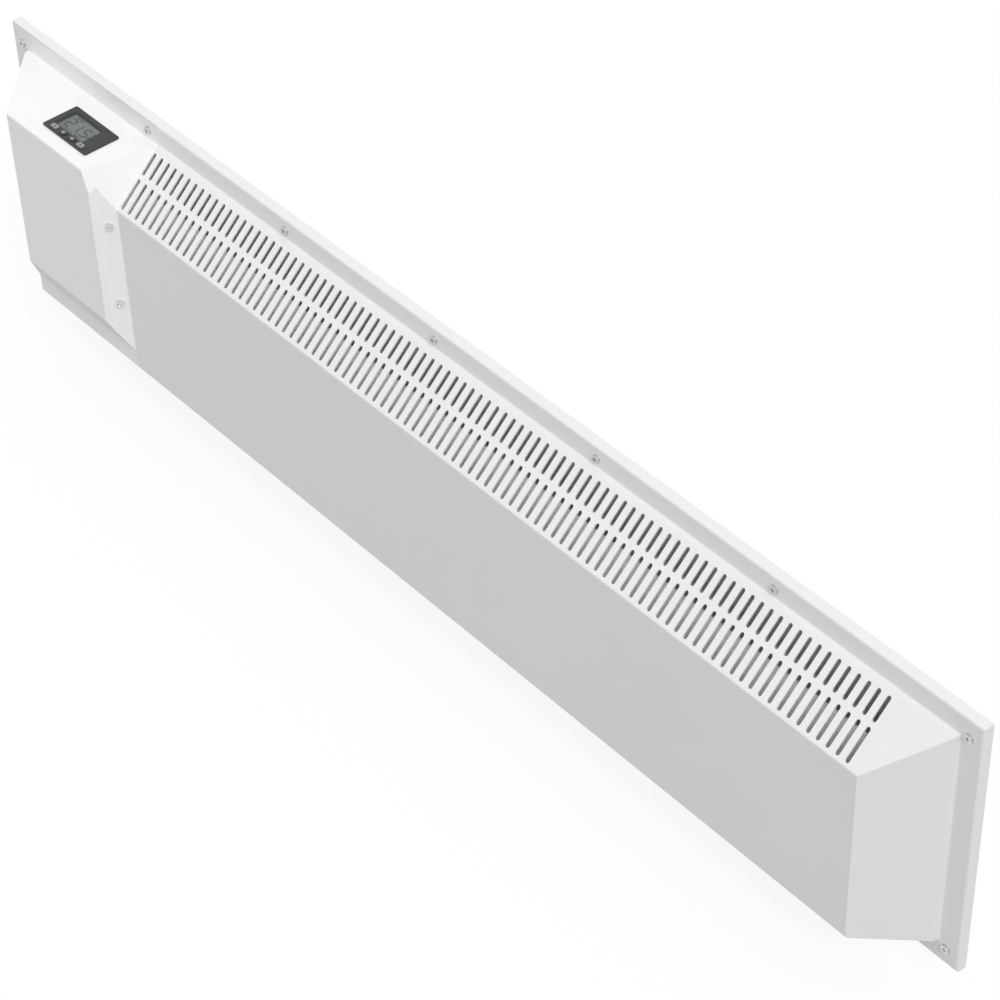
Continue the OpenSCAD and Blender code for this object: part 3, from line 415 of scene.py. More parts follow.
FINISHES: dict[str, Finish] = {
    "casing_paint": Finish(grey(0.80), grey(0.785), Effect.POWDER, 1.5 * MM, (0.38, 0.46), 0.05 * MM),
    # cover_paint is the casing's white paint made lighter: painted light that stands in for the brighter
    # light falling on the control cover's faces
    "cover_paint": Finish(grey(0.88), grey(0.865), Effect.POWDER, 1.5 * MM, (0.38, 0.46), 0.05 * MM),
    "zinc_steel": Finish(
        grey(0.92), grey(0.80), Effect.SPANGLE, 9 * MM, (0.40, 0.56), 0.03 * MM, metallic=0.45
    ),
    "screw_steel": metal(grey(0.62), grey(0.48), 0.8 * MM, (0.26, 0.40)),
    "casing_screw": metal(grey(0.72), grey(0.60), 0.8 * MM, (0.22, 0.36)),
    "element_metal": metal(grey(0.74), grey(0.60), 1.2 * MM, (0.40, 0.56), 0.03 * MM),
    "bush_ceramic": moulding((0.74, 0.70, 0.61), (0.66, 0.62, 0.52), 0.5 * MM, (0.55, 0.7), 0.03 * MM),
    "cutout_metal": metal(grey(0.70), grey(0.58), 0.9 * MM, (0.24, 0.36)),
    "bezel_plastic": moulding(grey(0.030), grey(0.020), 0.35 * MM, (0.36, 0.46)),
    "window_glass": Finish(
        (0.20, 0.23, 0.23), (0.18, 0.21, 0.21), Effect.POWDER, 2 * MM, (0.04, 0.08), 0.002 * MM,
        coat=0.3, alpha=0.10,
    ),
    "lcd_face": Finish(
        (0.20, 0.245, 0.225), (0.17, 0.21, 0.192), Effect.POWDER, 1 * MM, (0.22, 0.3), 0.004 * MM
    ),
    "lcd_ink": moulding((0.018, 0.022, 0.024), (0.012, 0.015, 0.017), 0.3 * MM, (0.4, 0.5), 0.004 * MM),
    "key_light": moulding(grey(0.30), grey(0.25), 0.3 * MM, (0.4, 0.5)),
    "key_dark": moulding(grey(0.045), grey(0.032), 0.3 * MM, (0.4, 0.5)),
    "mark_pale": moulding(grey(0.62), grey(0.56), 0.2 * MM, (0.45, 0.55), 0.006 * MM),
    "mark_dark": moulding(grey(0.03), grey(0.02), 0.2 * MM, (0.45, 0.55), 0.006 * MM),
    "board_green": Finish(
        (0.045, 0.21, 0.10), (0.012, 0.10, 0.045), Effect.TRACKS, 6 * MM, (0.25, 0.4), 0.03 * MM, coat=0.3
    ),
    "switch_plastic": moulding(grey(0.03), grey(0.02), 0.3 * MM, (0.4, 0.5)),
    "relay_plastic": moulding(
        (0.02, 0.035, 0.12), (0.012, 0.022, 0.08), 0.4 * MM, (0.25, 0.34), 0.01 * MM
    ),
    "transformer_plastic": Finish(
        (0.55, 0.36, 0.07), (0.36, 0.22, 0.04), Effect.BANDS, 6 * MM, (0.3, 0.45), 0.05 * MM
    ),
    "block_plastic": moulding((0.72, 0.70, 0.60), (0.66, 0.64, 0.54), 0.5 * MM, (0.4, 0.52)),
    "brass": metal((0.72, 0.50, 0.20), (0.58, 0.38, 0.14), 0.8 * MM, (0.22, 0.34)),
    "clamp_plastic": moulding(grey(0.028), grey(0.018), 0.4 * MM, (0.42, 0.55)),
    "rubber": moulding(grey(0.022), grey(0.014), 0.6 * MM, (0.6, 0.75), 0.03 * MM),
    "lead_brown": Finish(
        (0.16, 0.055, 0.022), (0.11, 0.036, 0.014), Effect.DRAWN, 0.9 * MM, (0.45, 0.58), 0.02 * MM
    ),
    "lead_blue": Finish(
        (0.02, 0.075, 0.28), (0.012, 0.05, 0.2), Effect.DRAWN, 0.9 * MM, (0.45, 0.58), 0.02 * MM
    ),
    "clip_nylon": moulding((0.72, 0.70, 0.60), (0.66, 0.64, 0.54), 0.5 * MM, (0.4, 0.52)),
    "ribbon_grey": Finish(grey(0.27), grey(0.19), Effect.BANDS, 8 * MM, (0.45, 0.55), 0.04 * MM),
    "sensor_black": moulding(grey(0.025), grey(0.016), 0.5 * MM, (0.3, 0.45)),
    "can_sleeve": moulding((0.02, 0.02, 0.035), (0.012, 0.012, 0.022), 0.6 * MM, (0.3, 0.4), 0.01 * MM),
    "chip_black": moulding(grey(0.02), grey(0.013), 0.25 * MM, (0.5, 0.6)),
    "earth_sleeve": Finish(
        (0.55, 0.50, 0.03), (0.06, 0.24, 0.05), Effect.BANDS, 14 * MM, (0.4, 0.5), 0.01 * MM
    ),
}


class Paintbox:
    """Makes each finish once and dresses pieces with it."""

    def __init__(self) -> None:
        """Starts with no material made."""
        self.shop = EffectShop()
        self.made: dict[str, bpy.types.Material] = {}

    def dress(self, piece: Piece, finish: str) -> None:
        """Gives a piece one finish in place of what it had.

        Args:
            piece: the piece.
            finish: the name of the finish.
        """
        if finish not in self.made:
            self.made[finish] = FINISHES[finish].build(finish, self.shop)
        piece.data.materials.clear()
        piece.data.materials.append(self.made[finish])

    def dress_frame(self) -> None:
        """Gives every node of the frame the finish of its slot in the record."""
        for row in frame["record"]["subparts"]:
            self.dress(frame["nodes"][row["node"]], row["material_slot"])
            log.info("%s has %s", row["node"], row["material_slot"])


class Bench:
    """The modelling moves that the sub-assemblies share."""

    def begin(self) -> None:
        """Leaves nothing selected, so that the next moves act on the new piece alone."""
        bpy.ops.object.select_all(action="DESELECT")

    def end(self, name: str) -> Piece:
        """Puts the active piece's place in its mesh, turns its faces out and names it.

        Args:
            name: the piece's name.

        Returns:
            The piece.
        """
        bpy.ops.mesh.select_all(action="SELECT")
        bpy.ops.mesh.remove_doubles(threshold=MERGE)
        bpy.ops.mesh.normals_make_consistent(inside=False)
        bpy.ops.object.mode_set(mode="OBJECT")
        bpy.ops.object.transform_apply(location=True, rotation=True, scale=True)
        piece = bpy.context.active_object
        piece.name = name
        piece.data.name = name
        return piece

    def block(self, name: str, centre: Point, size: Point, edge: float) -> Piece:
        """Makes a block with rounded edges.

        Args:
            name: the piece's name.
            centre: its middle.
            size: its length along X, Y and Z.
            edge: the radius of its edges.

        Returns:
            The piece.
        """
        self.begin()
        bpy.ops.mesh.primitive_cube_add(size=1.0, location=centre)
        bpy.ops.object.mode_set(mode="EDIT")
        bpy.ops.transform.resize(value=size, center_override=centre)
        bpy.ops.mesh.bevel(offset=edge, segments=2, affect="EDGES")
        return self.end(name)

    def bar(self, name: str, centre: Point, size: Point) -> Piece:
        """Makes a flat bar with pointed ends, as a segment of a digit.

        Args:
            name: the piece's name.
            centre: the middle of its underside.
            size: its length, width and thickness.

        Returns:
            The piece.
        """
        self.begin()
        length, width, height = size
        self.disc(centre, width / math.sqrt(3.0), 6)
        bpy.ops.transform.rotate(value=math.pi / 6, orient_axis="Z", center_override=centre)
        self.stretch(centre, length - width)
        bpy.ops.mesh.select_all(action="SELECT")
        self.raise_up(height)
        return self.end(name)

    def disc(self, centre: Point, radius: float, sides: int) -> None:
        """Adds a flat polygon with one corner towards +Y and opens it in edit mode."""
        bpy.ops.mesh.primitive_circle_add(vertices=sides, radius=radius, fill_type="NGON", location=centre)
        bpy.ops.object.mode_set(mode="EDIT")

    def raise_up(self, height: float) -> None:
        """Extrudes the selected faces along Z."""
        bpy.ops.mesh.extrude_region_move(TRANSFORM_OT_translate={"value": (0.0, 0.0, height)})

    def stretch(self, centre: Point, extra: float) -> None:
        """Moves the vertices on each side of a centre apart along X, in edit mode.

        Args:
            centre: the point between the two sides.
            extra: how much longer the piece becomes.
        """
        for side in (-1.0, 1.0):
            bpy.ops.mesh.select_all(action="DESELECT")
            bpy.ops.object.mode_set(mode="OBJECT")
            piece = bpy.context.active_object
            for vertex in piece.data.vertices:
                world = piece.matrix_world @ vertex.co
                vertex.select = (world.x - centre[0]) * side > MERGE
            bpy.ops.object.mode_set(mode="EDIT")
            bpy.ops.transform.translate(value=(side * extra / 2, 0.0, 0.0))

    def prism(self, name: str, centre: Point, radius: float, sides: int, height: float) -> Piece:
        """Makes a low prism that stands on its centre along Z, with one corner towards +Y.

        Args:
            name: the piece's name.
            centre: the middle of its underside.
            radius: the radius of its corners.
            sides: the number of its sides.
            height: its height.

        Returns:
            The piece.
        """
        self.begin()
        self.disc(centre, radius, sides)
        self.raise_up(height)
        return self.end(name)

    def ring(
        self, name: str, centre: Point, radius: float, width: float, height: float, sides: int = 32
    ) -> Piece:
        """Makes a flat ring on its centre.

        Args:
            name: the piece's name.
            centre: the middle of its underside.
            radius: its outer radius.
            width: the width of its band.
            height: its height.
            sides: the number of its sides.

        Returns:
            The piece.
        """
        self.begin()
        self.disc(centre, radius, sides)
        bpy.ops.mesh.inset(thickness=width)
        bpy.ops.mesh.delete(type="FACE")
        bpy.ops.mesh.select_all(action="SELECT")
        self.raise_up(height)
        return self.end(name)

    def turned(self, name: str, foot: Point, axis: Vector, profile: list[Pair]) -> Piece:
        """Spins a profile about an axis.

        Args:
            name: the piece's name.
            foot: the point of the axis at height 0.
            axis: the axis' direction.
            profile: radius and height of each point.

        Returns:
            The piece.
        """
        self.begin()
        out = axis.orthogonal().normalized()
        points = [Vector(foot) + out * r + axis * h for r, h in profile]
        bpy.ops.mesh.primitive_plane_add(size=MM, location=points[0])
        bpy.ops.object.mode_set(mode="EDIT")
        bpy.ops.mesh.merge(type="CENTER")
        for here, there in zip(points, points[1:]):
            bpy.ops.mesh.extrude_vertices_move(TRANSFORM_OT_translate={"value": there - here})
        bpy.ops.mesh.select_all(action="SELECT")
        bpy.ops.mesh.spin(steps=TURN_STEPS, angle=math.tau, center=foot, axis=axis)
        return self.end(name)

    def lead(self, name: str, points: list[Vector], radius: float) -> Piece:
        """Makes a round wire, held at both ends, that bends smoothly from point to point.

        Args:
            name: the piece's name.
            points: its ends, and between them the points that draw it along.
            radius: its radius.

        Returns:
            The lead, as a mesh.
        """
        self.begin()
        bpy.ops.curve.primitive_nurbs_path_add(location=(0.0, 0.0, 0.0))
        curve = bpy.context.active_object.data
        spline = curve.splines[0]
        spline.points.add(len(points) - len(spline.points))
        for knot, point in zip(spline.points, points):
            knot.co = (*point, 1.0)
        spline.order_u = LEAD_ORDER
        spline.use_endpoint_u = True
        spline.resolution_u = LEAD_STEPS
        curve.bevel_depth = radius
        curve.bevel_resolution = LEAD_BEVEL
        curve.use_fill_caps = True
        bpy.ops.object.convert(target="MESH")
        bpy.ops.object.mode_set(mode="EDIT")
        bpy.ops.mesh.select_all(action="SELECT")
        bpy.ops.mesh.faces_shade_smooth()
        return self.end(name)

    def cut(self, piece: Piece, tool: Piece) -> None:
        """Cuts the shape of a tool out of a piece and clears the tool away.

        Args:
            piece: the piece.
            tool: a closed shape that overlaps it.
        """
        self.begin()
        modifier = piece.modifiers.new("cut", "BOOLEAN")
        modifier.operation = "DIFFERENCE"
        modifier.object = tool
        piece.select_set(True)
        bpy.context.view_layer.objects.active = piece
        bpy.ops.object.modifier_apply(modifier=modifier.name)
        bpy.data.objects.remove(tool)

    def copy(self, piece: Piece, name: str, move: Matrix) -> Piece:
        """Copies a piece with its own mesh, moved in the mesh.

        Args:
            piece: the piece.
            name: the copy's name.
            move: the move.

        Returns:
            The copy.
        """
        twin = piece.copy()
        twin.data = piece.data.copy()
        twin.data.transform(move)
        twin.name = name
        bpy.context.scene.collection.objects.link(twin)
        return twin

    def join(self, name: str, pieces: list[Piece]) -> Piece:
        """Joins pieces of one finish into one piece.

        Args:
            name: the new piece's name.
            pieces: the pieces, of which the first takes in the others.

        Returns:
            The new piece.
        """
        self.begin()
        for piece in pieces:
            piece.select_set(True)
        bpy.context.view_layer.objects.active = pieces[0]
        bpy.ops.object.join()
        pieces[0].name = name
        return pieces[0]


@dataclass
class Display:
    """What the liquid crystal glass shows: a temperature, a clock and the day's programme."""

    bench: Bench
    paints: Paintbox
    digits: dict[str, str] = field(
        default_factory=lambda: {
            "0": "abcdef", "1": "bc", "2": "abdeg", "3": "abcdg", "4": "bcfg",
            "5": "acdfg", "6": "acdefg", "7": "abc", "8": "abcdefg", "9": "abcdfg",
        }
    )
    ink: float = 0.03 * MM
    lift: float = 0.01 * MM
    big: Point = (6.2 * MM, 11.0 * MM, 1.55 * MM)
    big_at: Pair = (5.6 * MM, 6.4 * MM)
    small: Point = (1.6 * MM, 2.6 * MM, 0.42 * MM)
    small_at: Pair = (5.2 * MM, 4.6 * MM)
    column: float = 4.9 * MM
    degree_drop: float = 7.4 * MM
    degree: Pair = (1.3 * MM, 0.5 * MM)
    heat_bars: int = 3
    heat_at: float = 8.2 * MM
    heat_pitch: float = 1.5 * MM
    heat: Pair = (3.6 * MM, 0.7 * MM)
    hours: int = 12
    warm_hours: tuple[int, ...] = (2, 3, 8, 9, 10)
    hour_at: Pair = (5.5 * MM, 3.6 * MM)
    hour_pitch: float = 2.6 * MM
    hour: tuple[float, float, float] = (1.5 * MM, 0.7 * MM, 1.5 * MM)
    hour_edge: float = 0.01 * MM

    def face(self) -> tuple[Vector, Vector]:
        """Returns the lowest and the highest corner of the liquid crystal glass."""
        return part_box("lcd_panel")

    def digit(self, shown: str, corner: Point, size: Point) -> list[Piece]:
        """Sets the lit segments of one digit.

        Args:
            shown: the digit.
            corner: its lower left corner.
            size: its width, its height and the width of a stroke.

        Returns:
            The segments.
        """
        width, height, stroke = size
        x, y, z = corner
        half = height / 2
        level = {"d": 0.0, "g": half, "a": height}
        low, high = half / 2, 1.5 * half
        upright = {"e": (0.0, low), "f": (0.0, high), "c": (width, low), "b": (width, high)}
        gap = 0.2 * stroke
        lit = []
        flat = self.bench.bar("bar", (0.0, 0.0, 0.0), (width - gap, stroke, self.ink))
        tall = self.bench.bar("bar", (0.0, 0.0, 0.0), (half - gap, stroke, self.ink))
        for name in self.digits[shown]:
            if name in level:
                move = Matrix.Translation((x + width / 2, y + level[name], z))
                lit.append(self.bench.copy(flat, "bar", move))
            else:
                dx, dy = upright[name]
                move = Matrix.Translation((x + dx, y + dy, z)) @ Matrix.Rotation(math.pi / 2, 4, "Z")
                lit.append(self.bench.copy(tall, "bar", move))
        bpy.data.objects.remove(flat)
        bpy.data.objects.remove(tall)
        return lit

    def number(self, shown: str, corner: Point, size: Point) -> list[Piece]:
        """Sets a number with its point or colon.

        Args:
            shown: digits, with . or : between them.
            corner: the lower left corner of the first digit.
            size: width and height of a digit and the width of a stroke.

        Returns:
            The segments and dots.
        """
        width, height, stroke = size
        x, y, z = corner
        lit = []
        for sign in shown:
            if sign in self.digits:
                lit += self.digit(sign, (x, y, z), size)
                x += width + 2.4 * stroke
                continue
            for level in (0.0,) if sign == "." else (0.3 * height, 0.7 * height):
                dot = (x - 0.4 * stroke, y + level, z)
                lit.append(self.bench.prism("dot", dot, 0.62 * stroke, 12, self.ink))
            x += 1.5 * stroke
        return lit

    def column_signs(self, x: float, low: float, high: float, z: float) -> list[Piece]:
        """Sets the degree ring and the bars of the heat.

        Args:
            x: the middle of the signs.
            low: the lower edge of the glass.
            high: its upper edge.
            z: the height of the print.

        Returns:
            The signs.
        """
        radius, band = self.degree
        signs = [self.bench.ring("degree", (x, high - self.degree_drop, z), radius, band, self.ink)]
        for k in range(self.heat_bars):
            place = (x, low + self.heat_at + k * self.heat_pitch, z)
            signs.append(self.bench.bar("heat", place, (*self.heat, self.ink)))
        return signs

    def programme(self, low: Vector, z: float) -> list[Piece]:
        """Sets a mark for each two hours of the day, taller where the heater keeps warm.

        Args:
            low: the lowest corner of the glass.
            z: the height of the print.

        Returns:
            The marks.
        """
        marks = []
        width, cool, warm = self.hour
        for k in range(self.hours):
            tall = warm if k in self.warm_hours else cool
            x = low.x + self.hour_at[0] + k * self.hour_pitch
            place = (x, low.y + self.hour_at[1], z + self.ink / 2)
            marks.append(self.bench.block("hour", place, (width, tall, self.ink), self.hour_edge))
        return marks

    def build(self) -> None:
        """Makes the shown signs."""
        low, high = self.face()
        z = high.z + self.lift
        lit = self.number("21.5", (low.x + self.big_at[0], low.y + self.big_at[1], z), self.big)
        lit += self.number("18:30", (low.x + self.small_at[0], high.y - self.small_at[1], z), self.small)
        lit += self.column_signs(high.x - self.column, low.y, high.y, z)
        lit += self.programme(low, z)
        signs = self.bench.join("lcd_signs", lit)
        self.paints.dress(signs, "lcd_ink")
        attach(signs, "base")
        log.info("lcd_signs shows a temperature, a clock and a programme")


@dataclass
class KeyMarks:
    """The signs printed on the four keys."""

    bench: Bench
    paints: Paintbox
    height: float = 0.04 * MM
    reach: float = 1.5 * MM
    line: Pair = (3.2 * MM, 0.5 * MM)
    line_pitch: float = 1.15 * MM
    rim: float = 0.4 * MM
    hand: float = 0.36 * MM
    hour_hand: float = 0.9 * MM
    hour_shift: float = 0.35 * MM
    minute_hand: float = 1.0 * MM

    def top(self, key: str) -> Vector:
        """Returns the middle of a key's top."""
        low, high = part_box(key)
        return Vector(((low.x + high.x) / 2, (low.y + high.y) / 2, high.z))

    def arrow(self, key: str, turn: float) -> Piece:
        """Makes a triangle that points up or down on a key.

        Args:
            key: the key's node.
            turn: its turn about Z.

        Returns:
            The mark.
        """
        place = self.top(key)
        mark = self.bench.prism(f"{key}_mark", (0.0, 0.0, 0.0), self.reach, 3, self.height)
        mark.data.transform(Matrix.Translation(place) @ Matrix.Rotation(turn, 4, "Z"))
        return mark

    def lines(self, key: str) -> Piece:
        """Makes the three lines of the menu key.

        Args:
            key: the key's node.

        Returns:
            The mark.
        """
        x, y, z = self.top(key)
        bars = [
            self.bench.bar("line", (x, y + k * self.line_pitch, z), (*self.line, self.height))
            for k in (-1, 0, 1)
        ]
        return self.bench.join(f"{key}_mark", bars)

    def clock(self, key: str) -> Piece:
        """Makes the clock face of the mode key.

        Args:
            key: the key's node.

        Returns:
            The mark.
        """
        x, y, z = self.top(key)
        face = self.bench.ring("rim", (x, y, z), self.reach, self.rim, self.height)
        place = (x + self.hour_shift, y, z)
        hand = self.bench.bar("hand", place, (self.hour_hand, self.hand, self.height))
        size = (self.minute_hand, self.hand, 1.2 * self.height)
        upper = self.bench.bar("hand", (0.0, 0.0, 0.0), size)
        turn = Matrix.Rotation(math.pi / 2, 4, "Z")
        upper.data.transform(Matrix.Translation((x, y + 0.4 * self.minute_hand, z)) @ turn)
        return self.bench.join(f"{key}_mark", [face, hand, upper])

    def build(self) -> None:
        """Makes the four marks, each on its own key."""
        marks = {
            "key_down": (self.arrow("key_down", math.pi), "mark_dark", "key_light"),
            "key_menu": (self.lines("key_menu"), "mark_pale", "key_dark"),
            "key_mode": (self.clock("key_mode"), "mark_pale", "key_dark"),
            "key_up": (self.arrow("key_up", 0.0), "mark_dark", "key_light"),
        }
        for key, (mark, finish, slot) in marks.items():
            self.paints.dress(mark, finish)
            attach(mark, key)
            log.info("%s rides on %s", mark.name, key)


@dataclass
class PowerBoard:
    """Small parts on the power board, clear of the relay and the transformer.

    Places are along X and Z from the board's lower left corner, and lengths along -Y.
    """

    bench: Bench
    paints: Paintbox
    cans: dict[str, tuple[float, float, float, float]] = field(
        default_factory=lambda: {
            "can_a": (14 * MM, 9 * MM, 4.0 * MM, 12 * MM),
            "can_b": (25 * MM, 8 * MM, 3.2 * MM, 11 * MM),
        }
    )
    chip_at: Pair = (62 * MM, 56 * MM)
    chip: Point = (9 * MM, 1.9 * MM, 7 * MM)
    stand: float = 0.05 * MM
    film_at: Pair = (42 * MM, 8 * MM)
    film: Point = (16 * MM, 11 * MM, 6 * MM)
    resistors: int = 3
    resistor_at: Pair = (58 * MM, 6 * MM)
    resistor_pitch: float = 5 * MM
    resistor_rise: float = 1.3 * MM

    def corner(self) -> Vector:
        """Returns the lower left corner of the board's face."""
        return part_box("power_board")[0]

    def can(self, name: str) -> Piece:
        """Makes an electrolytic can with its rolled groove.

        Args:
            name: its name among the cans.

        Returns:
            The can.
        """
        x, z, radius, length = self.cans[name]
        profile = [
            (0.0, 0.0), (radius * 0.92, 0.0), (radius, 0.4 * MM), (radius, 1.4 * MM),
            (radius * 0.86, 1.9 * MM), (radius, 2.4 * MM), (radius, length - 0.6 * MM),
            (radius * 0.9, length), (radius * 0.8, length - 0.15 * MM), (0.0, length - 0.15 * MM),
        ]
        return self.bench.turned(name, tuple(self.corner() + Vector((x, 0.0, z))), OUT, profile)

    def resistor(self, k: int) -> Piece:
        """Makes a film resistor that lies along X, with swollen ends.

        Args:
            k: its number from the bottom, from 0.

        Returns:
            The resistor.
        """
        x, z = self.resistor_at
        foot = self.corner() + Vector((x, -self.resistor_rise, z + k * self.resistor_pitch))
        body = [
            (0.0, 0.0), (0.3 * MM, 0.0), (0.3 * MM, 1.6 * MM), (1.15 * MM, 2.0 * MM), (1.2 * MM, 3.2 * MM),
            (0.95 * MM, 3.8 * MM), (0.95 * MM, 6.6 * MM), (1.2 * MM, 7.2 * MM), (1.15 * MM, 8.4 * MM),
            (0.3 * MM, 8.8 * MM), (0.3 * MM, 10.4 * MM), (0.0, 10.4 * MM),
        ]
        return self.bench.turned(f"resistor_{k}", tuple(foot), Vector((1.0, 0.0, 0.0)), body)

    def box_part(self, name: str, place: Pair, size: Point, gap: float, edge: float) -> Piece:
        """Makes a rounded block with a gap to the board, with its place along X and Z."""
        middle = self.corner() + Vector((place[0], -gap - size[1] / 2, place[1]))
        return self.bench.block(name, tuple(middle), size, edge)

    def build(self) -> None:
        """Makes the parts and sets them on the base."""
        rows = [(self.can(name), "can_sleeve", "switch_plastic") for name in self.cans]
        chip = self.box_part("chip", self.chip_at, self.chip, self.stand, 0.2 * MM)
        film = self.box_part("film_capacitor", self.film_at, self.film, 0.0, 0.6 * MM)
        rows.append((chip, "chip_black", "switch_plastic"))
        rows.append((film, "transformer_plastic", "transformer_plastic"))
        rows += [(self.resistor(k), "block_plastic", "block_plastic") for k in range(self.resistors)]
        for piece, finish, slot in rows:
            self.paints.dress(piece, finish)
            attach(piece, "base")
            log.info("%s stands on the power board", piece.name)


@dataclass
class Wiring:
    """The leads of the control compartment that end on the power board or the earth stud."""

    bench: Bench
    paints: Paintbox
    power: float = 1.2 * MM
    signal: float = 0.6 * MM
    clamp: Point = (16 * MM, 10 * MM, 9 * MM)
    clamp_at: Pair = (71 * MM, 0.5 * MM)
    clamp_grip: float = 3 * MM
    screw_level: float = 0.6
    screw_slot: Point = (5 * MM, 1.0 * MM, 0.6 * MM)
    pole_pitch: float = 9 * MM
    tunnel: float = 11 * MM
    tunnel_grip: float = 5 * MM
    nut_top: float = 4.2 * MM
    stud_bore: float = 2.1 * MM
    eyelet: float = 0.8 * MM
    washer: float = 1.0 * MM
    barrel_from: float = 4.2 * MM
    solder_x: float = 92 * MM
    plug: Point = (6 * MM, 5 * MM, 6 * MM)
    plug_rise: float = 44 * MM
    pair: float = 0.8 * MM
    blade_pitch: float = 9 * MM
    sleeve: Point = (10 * MM, 8.4 * MM, 2.8 * MM)

    def pole(self, k: int) -> Vector:
        """Returns the upper mouth of a tunnel of the terminal block; k is -1, 0 or 1."""
        low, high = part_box("terminal_block")
        return Vector(((low.x + high.x) / 2 + k * self.pole_pitch, low.y + self.tunnel, high.z))

    def dropped(self, start: Vector, end: Vector) -> list[Vector]:
        """Returns the points of a lead from the underside of a clamp down into a tunnel.

        Args:
            start: a point inside the clamp.
            end: the mouth of the tunnel.

        Returns:
            The points.
        """
        fall = UP * (start.z - end.z)
        return [
            start, start - 0.3 * fall, start.lerp(end, 0.55) + 3 * MM * OUT,
            end + 0.3 * fall, end + 0.12 * fall, end - self.tunnel_grip * UP,
        ]

    def hang(self, piece: Piece, finish: str, slot: str) -> None:
        """Dresses a piece and sets it on the base.

        Args:
            piece: the piece.
            finish: the name of its finish.
            slot: the record's slot for the piece; not used.
        """
        self.paints.dress(piece, finish)
        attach(piece, "base")
        log.info("%s is wired", piece.name)

    def screw(self, name: str, foot: Vector) -> Piece:
        """Makes a slotted screw head that faces -Y.

        Args:
            name: the piece's name.
            foot: the middle of its seat.

        Returns:
            The head.
        """
        head = self.bench.turned(name, tuple(foot), OUT, [
            (0.0, -0.2 * MM), (2.0 * MM, -0.2 * MM), (2.0 * MM, 0.5 * MM),
            (1.6 * MM, 0.8 * MM), (0.0, 0.8 * MM),
        ])
        slot = self.bench.block("slot", tuple(foot + 0.8 * MM * OUT), self.screw_slot, 0.02 * MM)
        self.bench.cut(head, slot)
        return head

    def supply(self) -> None:
        """Makes the clamp at the board's lower edge and its two leads to the terminal block."""
        size = Vector(self.clamp)
        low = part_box("power_board")[0] + Vector((self.clamp_at[0], -size.y, self.clamp_at[1]))
        clamp = self.bench.block("board_clamp", tuple(low + size / 2), self.clamp, 0.5 * MM)
        self.hang(clamp, "relay_plastic", "relay_plastic")
        colours = {"supply_live": ("lead_brown", -1, 0.25), "supply_neutral": ("lead_blue", 0, 0.75)}
        for name, (colour, k, part) in colours.items():
            mouth = low + Vector((part * size.x, size.y / 2, 0.0))
            points = self.dropped(mouth + self.clamp_grip * UP, self.pole(k))
            self.hang(self.bench.lead(name, points, self.power), colour, colour)
            foot = Vector((mouth.x, low.y, low.z + self.screw_level * size.z))
            self.hang(self.screw(f"{name}_screw", foot), "brass", "brass")

    def earth(self) -> None:
        """Makes the earth lead, from the third pole to an eyelet between the stud's two nuts."""
        low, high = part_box("earth_stud")
        foot = Vector(((low.x + high.x) / 2, high.y - self.nut_top, (low.z + high.z) / 2))
        seat = foot + OUT * (self.washer + self.eyelet / 2)
        stack = {
            "earth_washer_in": (self.washer, 4.5 * MM),
            "earth_eyelet": (self.eyelet, 4.4 * MM),
            "earth_washer_out": (self.washer, 4.5 * MM),
            "earth_spring": (self.washer, 3.6 * MM),
        }
        bore = self.stud_bore
        for name, (height, radius) in stack.items():
            profile = [(bore, 0.0), (radius, 0.0), (radius, height), (bore, height), (bore, 0.0)]
            self.hang(self.bench.turned(name, tuple(foot), OUT, profile), "casing_screw", "screw_steel")
            foot += OUT * height
        away = Vector((-0.8, 0.0, -0.6))
        grip = seat + away * self.barrel_from
        barrel = self.bench.turned("earth_barrel", tuple(grip), away, [
            (0.0, 0.0), (0.38 * MM, 0.0), (0.38 * MM, 0.8 * MM), (1.7 * MM, 2.2 * MM),
            (1.7 * MM, 7.8 * MM), (1.5 * MM, 8.2 * MM), (0.0, 8.2 * MM),
        ])
        self.hang(barrel, "casing_screw", "screw_steel")
        pole = self.pole(1)
        start = grip + 5 * MM * away
        lead = self.bench.lead("earth_lead", [
            start, start + 8 * MM * away, start.lerp(pole, 0.6) + 3 * MM * OUT + 4 * MM * UP,
            pole + MM * OUT + 9 * MM * UP, pole + 4 * MM * UP, pole - self.tunnel_grip * UP,
        ], self.power)
        self.hang(lead, "earth_sleeve", "lead_brown")

    def sensor(self) -> None:
        """Makes the sensor's plug on the board and its pair of thin leads along the bulkhead."""
        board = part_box("power_board")[0]
        plug = board + Vector((self.solder_x, -self.plug[1] / 2, self.plug_rise))
        body = self.bench.block("sensor_plug", tuple(plug), self.plug, 0.4 * MM)
        self.hang(body, "block_plastic", "block_plastic")
        low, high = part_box("room_sensor")
        below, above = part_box("overheat_cutout")
        bead = Vector((low.x + 2.5 * MM, (low.y + high.y) / 2, high.z))
        clear = below.y - 4 * MM
        for name, side in (("sensor_lead_a", -self.pair), ("sensor_lead_b", self.pair)):
            run = [
                bead - 2 * MM * UP, bead + 6 * MM * UP,
                Vector((bead.x, clear, bead.z + 16 * MM)), Vector((bead.x, clear, below.z)),
                Vector((bead.x - 2 * MM, clear, above.z + 26 * MM)),
                Vector((bead.x - 18 * MM, clear + 2 * MM, plug.z + 7 * MM)),
                Vector((plug.x + 16 * MM, plug.y - 14 * MM, plug.z + 3 * MM)),
                plug + 12 * MM * OUT, plug + 2 * MM * OUT,
            ]
            points = [point + Vector((side, 0.0, side)) for point in run]
            self.hang(self.bench.lead(name, points, self.signal), "can_sleeve", "lead_blue")

